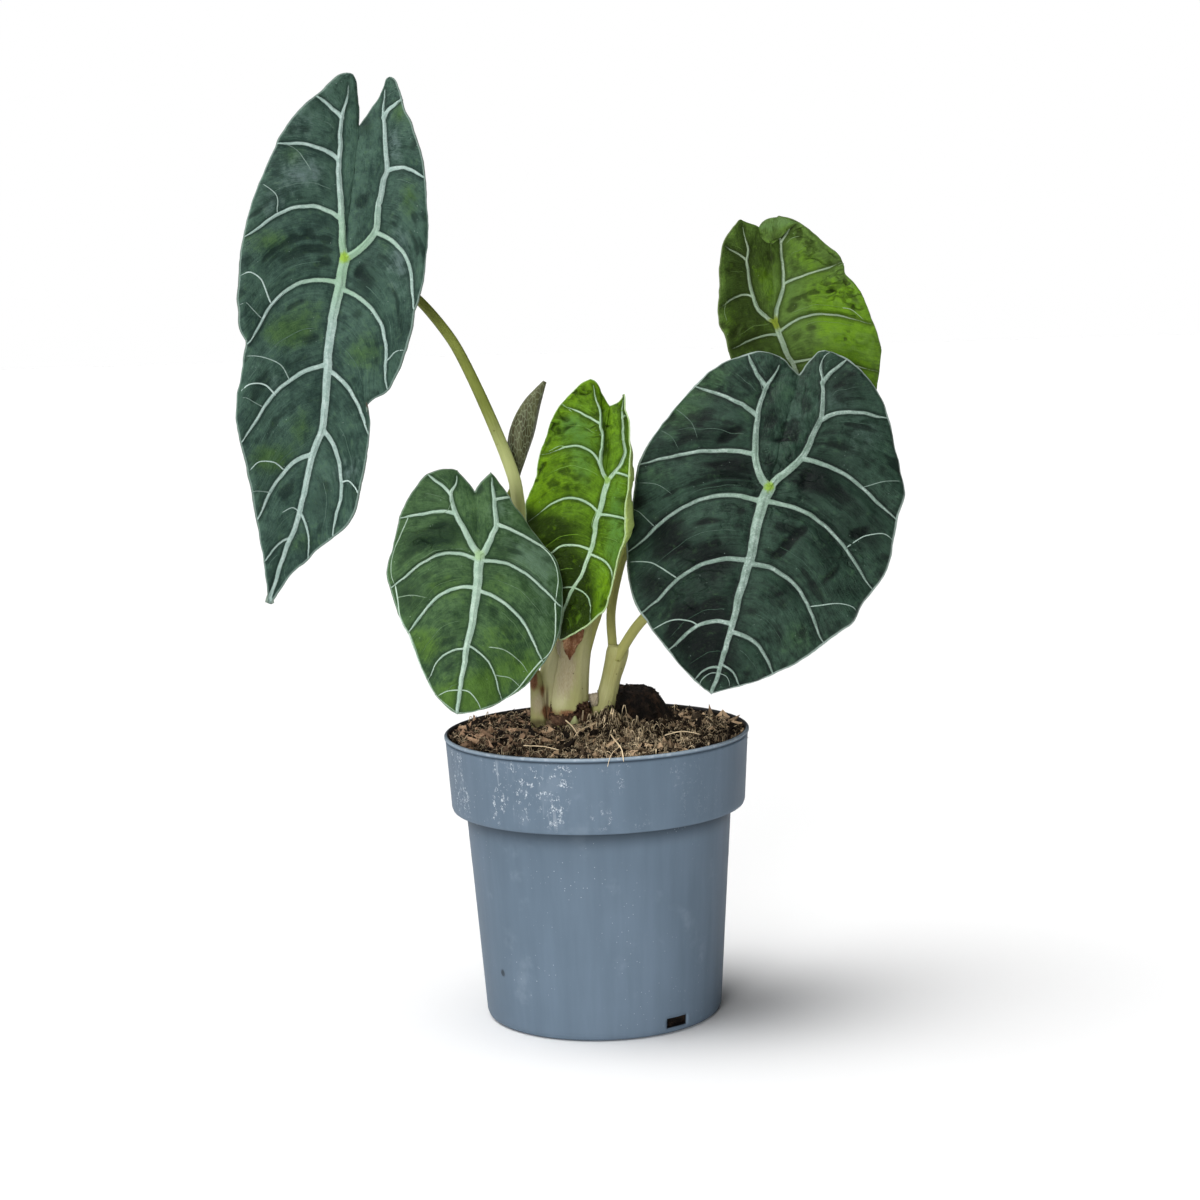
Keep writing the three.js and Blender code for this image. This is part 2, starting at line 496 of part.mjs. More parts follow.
// A closed slab between two heights over the sheet, of the triangles that are asked for.
function slab({ vertices, triangles, normals }, wanted, low, high) {
  const kept = triangles.filter(wanted).map((t) => t.at);
  const used = [...new Set(kept.flat())];
  const slot = new Map(used.map((k, i) => [k, i]));
  const lift = (k, h) => vertices[k].clone().addScaledVector(normals[k], h);
  const points = [...used.map((k) => lift(k, high)), ...used.map((k) => lift(k, low(k)))];
  const faces = [];
  const sides = new Map();
  for (const at of kept) {
    const [a, b, c] = at.map((k) => slot.get(k));
    const n = used.length;
    faces.push([a, b, c], [c + n, b + n, a + n]);
    for (const [p, q] of [[a, b], [b, c], [c, a]]) {
      if (!sides.delete(`${q},${p}`)) sides.set(`${p},${q}`, [p, q]);
    }
  }
  for (const [p, q] of sides.values()) {
    faces.push([q, p, p + used.length], [q, p + used.length, q + used.length]);
  }
  return geometryOf(points, faces);
}

function addLeaf(name, leaf) {
  const sheet = joined(sheetOf(leaf));
  const half = blade.thickness / 2;
  const counts = sheet.vertices.map(() => [0, 0]);
  for (const { at, vein } of sheet.triangles) at.forEach((k) => counts[k][vein ? 0 : 1]++);
  const keel = (k) => -half - (counts[k][0] && !counts[k][1] ? blade.keel : 0);
  add(`blade_${name}`, slab(sheet, () => true, keel, half), leaf.color, 0.45);
  const netLow = half + blade.netGap;
  add(`veins_${name}`, slab(sheet, (t) => t.vein, () => netLow, netLow + blade.netHeight), 0xc9dcae, 0.5);
}

// Spear: a young leaf still rolled round itself, broad in the middle and drawn out to its tip
const spear = {
  points: [[-34.8, 46.2, 14.6, 1.6], [-33, 55, 14.6, 3.6], [-30.5, 66, 14.6, 4.6], [-27, 76, 14.8, 3.4],
    [-21.6, 85.6, 15, 0.7]],
  sides: 10, steps: 10,
};

// The height of the soil at (x, y): lowest at the rim, raised round the stems, with a wet heap at the back.
function soilTop(x, y) {
  const r = Math.hypot(x, y) / (pot.rimRadius - pot.wall);
  const rise = soil.crownRise * Math.exp(-(((x + 8) / 26) ** 2) - ((y - 8) / 26) ** 2);
  const heap = soil.moundHeight * Math.exp(-(((x - 17) / 11) ** 2) - ((y - 30) / 12) ** 2);
  const rough = Math.sin(x * 0.61 + 1.3) * Math.cos(y * 0.57 - 0.4) + 0.6 * Math.sin(x * 1.13 - y * 0.87);
  return pot.height - soil.rimDrop + rise + heap + soil.bump * rough * (1 - r ** 6);
}

function soilGeometry() {
  const { height, rimRadius, collarHeight, collarFootRadius, shoulderRadius, footRadius } = pot;
  const { wall, floor } = pot;
  const inside = wall + gap;
  const step = height - collarHeight;
  const topRadius = rimRadius - inside - 0.1;
  const outline = [[footRadius - inside, floor + gap], [shoulderRadius - inside, step + 1.6],
    [collarFootRadius - inside, step + 2.6], [topRadius, height - soil.rimDrop - 1]];
  const shares = [0.86, 0.7, 0.54, 0.38, 0.2];
  const n = soil.segments;
  const ring = (radius, z) => Array.from({ length: n }, (_, k) => {
    const angle = (2 * Math.PI * k) / n;
    const x = radius * Math.cos(angle);
    const y = radius * Math.sin(angle);
    return new THREE.Vector3(x, y, z === undefined ? soilTop(x, y) : z);
  });
  const rings = [...outline.map(([r, z]) => ring(r, z)), ...shares.map((share) => ring(topRadius * share))];
  const middles = [floor + gap, soilTop(0, 0)].map((z) => new THREE.Vector3(0, 0, z));
  const vertices = [...rings.flat(), ...middles];
  const bottom = vertices.length - 2;
  const triangles = [];
  for (let k = 0; k < n; k++) {
    const next = (k + 1) % n;
    triangles.push([bottom, next, k]);
    for (let i = 0; i + 1 < rings.length; i++) {
      const a = i * n + k;
      const b = i * n + next;
      triangles.push([a, b, b + n], [a, b + n, a + n]);
    }
    const last = (rings.length - 1) * n;
    triangles.push([bottom + 1, last + k, last + next]);
  }
  return geometryOf(vertices, triangles);
}

// A dry sheath: a strip of thin wall that hugs a stem between two heights and ends in a ragged edge.
// from and to are angles round the stem, 0 to the right and -90 degrees to the front.
function drySheath({ foot, head, from, to, ragged }) {
  const steps = 10;
  const rows = 3;
  const wall = 0.7;
  const faces = [];
  const points = [];
  const at = (i, j, layer) => (layer * (rows + 1) + j) * (steps + 1) + i;
  for (const layer of [0, 1]) {
    for (let j = 0; j <= rows; j++) {
      for (let i = 0; i <= steps; i++) {
        const angle = degToRad(between(from, to, i / steps));
        const tear = ragged * (0.3 * Math.sin(i * 2.3 + 0.7) - 0.3 - 1.2 * Math.abs(i / steps - 0.5));
        const share = (j / rows) * (1 + tear / (head[1] - foot[1]));
        const [across, up, back, radius] = foot.map((value, k) => between(value, head[k], share));
        const r = radius + gap + 0.1 + layer * wall;
        const middle = seen(across, up, back);
        const away = new THREE.Vector3(r * Math.cos(angle), r * Math.sin(angle), 0);
        points.push(middle.add(away));
      }
    }
  }
  for (let j = 0; j < rows; j++) {
    for (let i = 0; i < steps; i++) {
      const [a, b, c, d] = [at(i, j, 1), at(i + 1, j, 1), at(i + 1, j + 1, 1), at(i, j + 1, 1)];
      const [e, f, g, h] = [at(i, j, 0), at(i + 1, j, 0), at(i + 1, j + 1, 0), at(i, j + 1, 0)];
      faces.push([a, b, c], [a, c, d], [e, g, f], [e, h, g]);
    }
  }
  for (let i = 0; i < steps; i++) {
    faces.push([at(i, 0, 0), at(i + 1, 0, 0), at(i + 1, 0, 1)],
    [at(i, 0, 0), at(i + 1, 0, 1), at(i, 0, 1)]);
    faces.push([at(i, rows, 1), at(i + 1, rows, 1), at(i + 1, rows, 0)]);
    faces.push([at(i, rows, 1), at(i + 1, rows, 0), at(i, rows, 0)]);
  }
  for (let j = 0; j < rows; j++) {
    faces.push([at(0, j, 0), at(0, j, 1), at(0, j + 1, 1)],
    [at(0, j, 0), at(0, j + 1, 1), at(0, j + 1, 0)]);
    const s = steps;
    faces.push([at(s, j, 1), at(s, j, 0), at(s, j + 1, 0)],
    [at(s, j, 1), at(s, j + 1, 0), at(s, j + 1, 1)]);
  }
  return geometryOf(points, faces);
}

// Stems and soil: the petioles stand in sockets in the sheaths, and the sheaths in a plain hole in the soil
for (const [name, leaf] of Object.entries(leaves)) {
  petioles[name].push([...leaf.heart, leaf.back + heartBehind, 1.8]);
}
const petioleSteps = (points) => points.length + 1;
let crown = null;
let crownHole = null;
for (const points of Object.values(sheaths)) {
  const body = solidOf(stalk(points, sheathSides, sheathSteps));
  const hole = solidOf(stalk(points, sheathSides, sheathSteps, gap));
  crown = crown ? crown.add(body) : body;
  crownHole = crownHole ? crownHole.add(hole) : hole;
}
for (const points of Object.values(petioles)) {
  crown = crown.subtract(solidOf(stalk(points, petioleSides, petioleSteps(points), gap)));
}
const dry = {
  sheath_tip: {
    foot: [-9.5, -28, 5.8, 7.4], head: [-6, -13, 4.2, 5.9], from: -120, to: -62, ragged: 7,
  },
  sheath_foot: {
    foot: [-10.5, -45, 6, 8.1], head: [-10.3, -39.5, 6, 7.9], from: -116, to: -20, ragged: 3,
  },
};
const bud = [[-10.3, -52.5, -5.6, 1.6], [-10, -48.4, -5.7, 1.7], [-9.7, -45.4, -5.4, 0.5]];
const holes = crownHole.add(solidOf(stalk(bud, 8, 4, gap)));

add('pot', potGeometry(), 0x5d7183, 0.5);
add('soil', geometryOfSolid(solidOf(soilGeometry()).subtract(holes)), 0x3a2a1f, 0.95);
add('crown', geometryOfSolid(crown), 0xb9c489, 0.6);
add('bud', stalk(bud, 8, 4), 0x8fae4a, 0.6);
for (const [name, points] of Object.entries(petioles)) {
  add(`petiole_${name}`, stalk(points, petioleSides, petioleSteps(points)), 0x9fae6a, 0.55);
}
for (const [name, leaf] of Object.entries(leaves)) addLeaf(name, leaf);
for (const [name, strip] of Object.entries(dry)) add(name, drySheath(strip), 0x8a5a3a, 0.8);
add('spear', stalk(spear.points, spear.sides, spear.steps), 0x6f6a4c, 0.55);

export default plant;
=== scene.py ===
import math
import bpy
import numpy as np
from mathutils import Matrix


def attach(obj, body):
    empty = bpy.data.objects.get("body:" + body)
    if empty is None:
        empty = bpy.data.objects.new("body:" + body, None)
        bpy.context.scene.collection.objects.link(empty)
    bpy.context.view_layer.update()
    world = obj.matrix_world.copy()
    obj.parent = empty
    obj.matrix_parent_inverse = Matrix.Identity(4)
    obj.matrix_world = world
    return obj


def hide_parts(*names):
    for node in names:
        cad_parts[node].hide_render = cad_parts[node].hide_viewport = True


# A potted alocasia. Lengths below are millimetres unless a name says otherwise, and points become metres in seen().
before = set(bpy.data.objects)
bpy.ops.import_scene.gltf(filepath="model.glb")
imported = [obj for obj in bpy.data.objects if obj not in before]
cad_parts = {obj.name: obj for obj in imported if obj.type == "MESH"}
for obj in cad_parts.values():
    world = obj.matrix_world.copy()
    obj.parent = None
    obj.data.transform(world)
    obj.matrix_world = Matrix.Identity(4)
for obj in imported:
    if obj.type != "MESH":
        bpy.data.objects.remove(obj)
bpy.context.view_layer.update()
mm = 0.001
weldSteps = 1e7
farGap = 9.0

# Camera
eye = {"distance": 1025, "down": 7.9, "tilt": 1.7, "aim": (2.9, 0, 164.3), "lens": 78.5}
eyeTurn = (Matrix.Rotation(math.radians(90 - eye["down"]), 3, "X")
           @ Matrix.Rotation(math.radians(-eye["tilt"]), 3, "Z"))
eyeAxes = np.array(eyeTurn)
eyePoint = np.array(eye["aim"]) + eyeAxes[:, 2] * eye["distance"]
cameraData = bpy.data.cameras.new("camera")
cameraData.lens = eye["lens"]
camera = bpy.data.objects.new("camera", cameraData)
camera.matrix_world = Matrix.Translation(eyePoint * mm) @ eyeTurn.to_4x4()
bpy.context.scene.collection.objects.link(camera)
bpy.context.scene.camera = camera


# The point at depth back behind the pot's axis that is seen at (across, up) from the point aimed at, in metres.
def seen(across, up, back):
    across, up, back = np.broadcast_arrays(across, up, back)
    ray = np.stack([across, up, np.full(up.shape, -float(eye["distance"]))], -1) @ eyeAxes.T
    return (eyePoint + ray * ((back - eyePoint[1]) / ray[..., 1])[..., None]) * mm


# Points (across, down) of the 1200 x 1200 photograph as (across, up) from the point aimed at.
def fromFrame(points):
    return (np.array(points, float) - 600) / (2.553, -2.553)


# The angles of count points evenly round a circle
def roundAngles(count, first=0):
    return first + np.arange(count) * 2 * np.pi / count


def unit(vectors):
    return vectors / np.maximum(np.linalg.norm(vectors, axis=-1, keepdims=True), 1e-9)


# Meshes from whole arrays of points and triangles
def gridFaces(rows, columns, start=0, flip=False, loop=False, pick=None):
    k = np.arange(rows * columns).reshape(rows, columns) + start
    if pick is not None:
        k = k[:, pick]
    if loop:
        k = np.hstack([k, k[:, :1]])
    a, b, c, d = k[:-1, :-1], k[:-1, 1:], k[1:, 1:], k[1:, :-1]
    faces = np.concatenate([np.stack([a, b, c], -1).reshape(-1, 3), np.stack([a, c, d], -1).reshape(-1, 3)])
    return faces[:, ::-1] if flip else faces


# Joins points that agree to a ten-thousandth of a millimetre: gives the kept ones and each old point's new number.
def weld(points):
    _, first, number = np.unique(np.round(points * weldSteps).astype(np.int64), axis=0, return_index=True,
                                 return_inverse=True)
    return first, number.reshape(-1)


def whole(faces):
    a, b, c = faces.T
    return faces[(a != b) & (b != c) & (c != a)]


def normalsOf(points, faces):
    a, b, c = (points[faces[:, i]] for i in range(3))
    area = np.cross(b - a, c - a)
    total = np.zeros_like(points)
    for i in range(3):
        np.add.at(total, faces[:, i], area)
    return total / np.maximum(np.linalg.norm(total, axis=1, keepdims=True), 1e-20)


def piece(name, points, faces, material, slot, replaces=(), values=None, uv=None, smooth=True):
    a, b, c = (points[faces[:, i]] for i in range(3))
    if (a * np.cross(b, c)).sum() < 0:  # the volume is negative while the faces point inwards
        faces = faces[:, ::-1]
    mesh = bpy.data.meshes.new(name)
    mesh.vertices.add(len(points))
    mesh.vertices.foreach_set("co", np.asarray(points, np.float32).ravel())
    mesh.loops.add(faces.size)
    mesh.loops.foreach_set("vertex_index", faces.astype(np.int32).ravel())
    mesh.polygons.add(len(faces))
    mesh.polygons.foreach_set("loop_start", np.arange(0, faces.size, 3, dtype=np.int32))
    mesh.update(calc_edges=True)
    for key, value in (values or {}).items():
        mesh.attributes.new(key, "FLOAT", "POINT").data.foreach_set("value", np.asarray(value, np.float32))
    if uv is not None:
        layer = mesh.uv_layers.new(name="map")
        layer.data.foreach_set("uv", uv[faces.ravel()].astype(np.float32).ravel())
    mesh.polygons.foreach_set("use_smooth", np.full(len(faces), smooth))
    mesh.materials.append(material)
    made = bpy.data.objects.new(name, mesh)
    bpy.context.scene.collection.objects.link(made)
    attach(made, "root")
    if replaces:
        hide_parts(*replaces)
    return made


# Several shapes of (points, faces, values) as one.
def together(shapes):
    points, faces, values, start = [], [], [], 0
    for p, f, v in shapes:
        points.append(p)
        faces.append(f + start)
        values.append(v)
        start += len(p)
    return np.concatenate(points), np.concatenate(faces), {k: np.concatenate([v[k] for v in values]) for k in values[0]}


# Curves through points, evenly stepped by length: a curve is its dense line and the length up to each point of it.
def curveOf(points, count=700):
    pts = np.array(points, float)
    ends = np.vstack([pts[:1], pts, pts[-1:]])
    t = np.linspace(0, len(pts) - 1, count)
    k = np.minimum(t.astype(int), len(pts) - 2)
    w = (t - k)[:, None]
    p0, p1, p2, p3 = (ends[k + i] for i in range(4))
    v0, v1 = (p2 - p0) / 2, (p3 - p1) / 2
    line = (2 * p1 - 2 * p2 + v0 + v1) * w ** 3 + (3 * p2 - 3 * p1 - 2 * v0 - v1) * w ** 2 + v0 * w + p1
    length = np.concatenate([[0], np.cumsum(np.linalg.norm(np.diff(line, axis=0), axis=1))])
    return line, length


def at(curve, share):
    line, length = curve
    return np.stack([np.interp(np.asarray(share) * length[-1], length, line[:, i]) for i in range(line.shape[1])], -1)


def nearest(curve, point):
    share = np.linspace(0, 1, 401)
    return share[np.argmin(np.linalg.norm(at(curve, share) - point, axis=1))]


# A smooth curve through y at 0, 1, 2 ... that doesn't overshoot.
def smoothly(y, x):
    y = np.array(y, float)
    step = np.diff(y)
    slope = np.zeros(len(y))
    same = step[:-1] * step[1:] > 0
    slope[1:-1][same] = 2 * step[:-1][same] * step[1:][same] / (step[:-1] + step[1:])[same]
    slope[0], slope[-1] = step[0], step[-1]
    k = np.clip(np.floor(x).astype(int), 0, len(y) - 2)
    w = x - k
    return (y[k] * (1 + 2 * w) * (1 - w) ** 2 + slope[k] * w * (1 - w) ** 2
            + y[k + 1] * w ** 2 * (3 - 2 * w) + slope[k + 1] * w ** 2 * (w - 1))


# Soft noise between -1 and 1 with lumps of about size.
def cloud(x, y, size, seed):
    table = np.random.default_rng(seed).uniform(-1, 1, (64, 64))
    u, v = x / size, y / size
    i, j = np.floor(u).astype(int), np.floor(v).astype(int)
    a, b = u - i, v - j
    a, b = a * a * (3 - 2 * a), b * b * (3 - 2 * b)
    pick = lambda m, n: table[(i + m) % 64, (j + n) % 64]
    return (pick(0, 0) * (1 - a) + pick(1, 0) * a) * (1 - b) + (pick(0, 1) * (1 - a) + pick(1, 1) * a) * b


def ramp(x, low, high):
    t = np.clip((x - low) / (high - low), 0, 1)
    return t * t * (3 - 2 * t)


# Materials. A Value wraps a shader socket, so that nodes are written as sums and products.
class Value:
    def __init__(self, paint, socket):
        self.paint = paint
        self.socket = socket

    def math(self, operation, other=0.5):
        return self.paint.node("ShaderNodeMath", {"operation": operation}, [self, other])

    def __add__(self, other):
        return self.math("ADD", other)

    def __sub__(self, other):
        return self.math("SUBTRACT", other)

    def __mul__(self, other):
        return self.math("MULTIPLY", other)

    def __rsub__(self, other):
        return self.paint.node("ShaderNodeMath", {"operation": "SUBTRACT"}, [other, self])

    __radd__ = __add__
    __rmul__ = __mul__

    # 0 below low, 1 above high, smooth between; low may be the higher one.
    def step(self, low, high):
        return self.paint.node("ShaderNodeMapRange", {"interpolation_type": "SMOOTHSTEP"},
                               [self, low, high, 0.0, 1.0]) \
            if low < high else 1 - self.step(high, low)


class Paint:
    def __init__(self, name, **constants):
        self.material = bpy.data.materials.new(name)
        self.material.use_nodes = True
        self.tree = self.material.node_tree
        self.shader = self.tree.nodes["Principled BSDF"]
        for key, value in constants.items():
            self.shader.inputs[key.replace("_", " ")].default_value = value

    # A node of a type, its settings, then its inputs in order or by name.
    def node(self, kind, settings=None, inputs=(), output=0):
        made = self.tree.nodes.new(kind)
        for key, value in (settings or {}).items():
            setattr(made, key, value)
        for key, value in (inputs.items() if isinstance(inputs, dict) else enumerate(inputs)):
            self.join(value, made.inputs[key])
        return Value(self, made.outputs[output])

    def join(self, value, socket):
        if isinstance(value, Value):
            self.tree.links.new(value.socket, socket)
        elif value is not None:
            socket.default_value = (*value, 1)[:4] if socket.type == "RGBA" else value

    def attribute(self, name):
        return self.node("ShaderNodeAttribute", {"attribute_name": name}, output="Fac")

    def place(self):
        return self.node("ShaderNodeTexCoord", output="Object")

    def map(self):
        return self.node("ShaderNodeUVMap", {"uv_map": "map"})

    def scaled(self, vector, scale):
        return self.node("ShaderNodeVectorMath", {"operation": "MULTIPLY"}, [vector, scale])

    def noise(self, vector, scale, detail=3.0, roughness=0.55):
        return self.node("ShaderNodeTexNoise", {},
                         {"Vector": vector, "Scale": scale, "Detail": detail, "Roughness": roughness})

    def cells(self, vector, scale, feature="F1"):
        return self.node("ShaderNodeTexVoronoi", {"feature": feature}, {"Vector": vector, "Scale": scale}, "Distance")

    def mix(self, share, a, b):
        return self.node("ShaderNodeMix", {"data_type": "RGBA"}, {0: share, 6: a, 7: b}, 2)

    def finish(self, color, roughness=None, height=None, depth=0.1):
        self.join(color, self.shader.inputs["Base Color"])
        self.join(roughness, self.shader.inputs["Roughness"])
        if height is not None:
            bump = self.node("ShaderNodeBump", {}, {"Strength": 1.0, "Distance": depth * mm, "Height": height})
            self.join(bump, self.shader.inputs["Normal"])
        return self.material


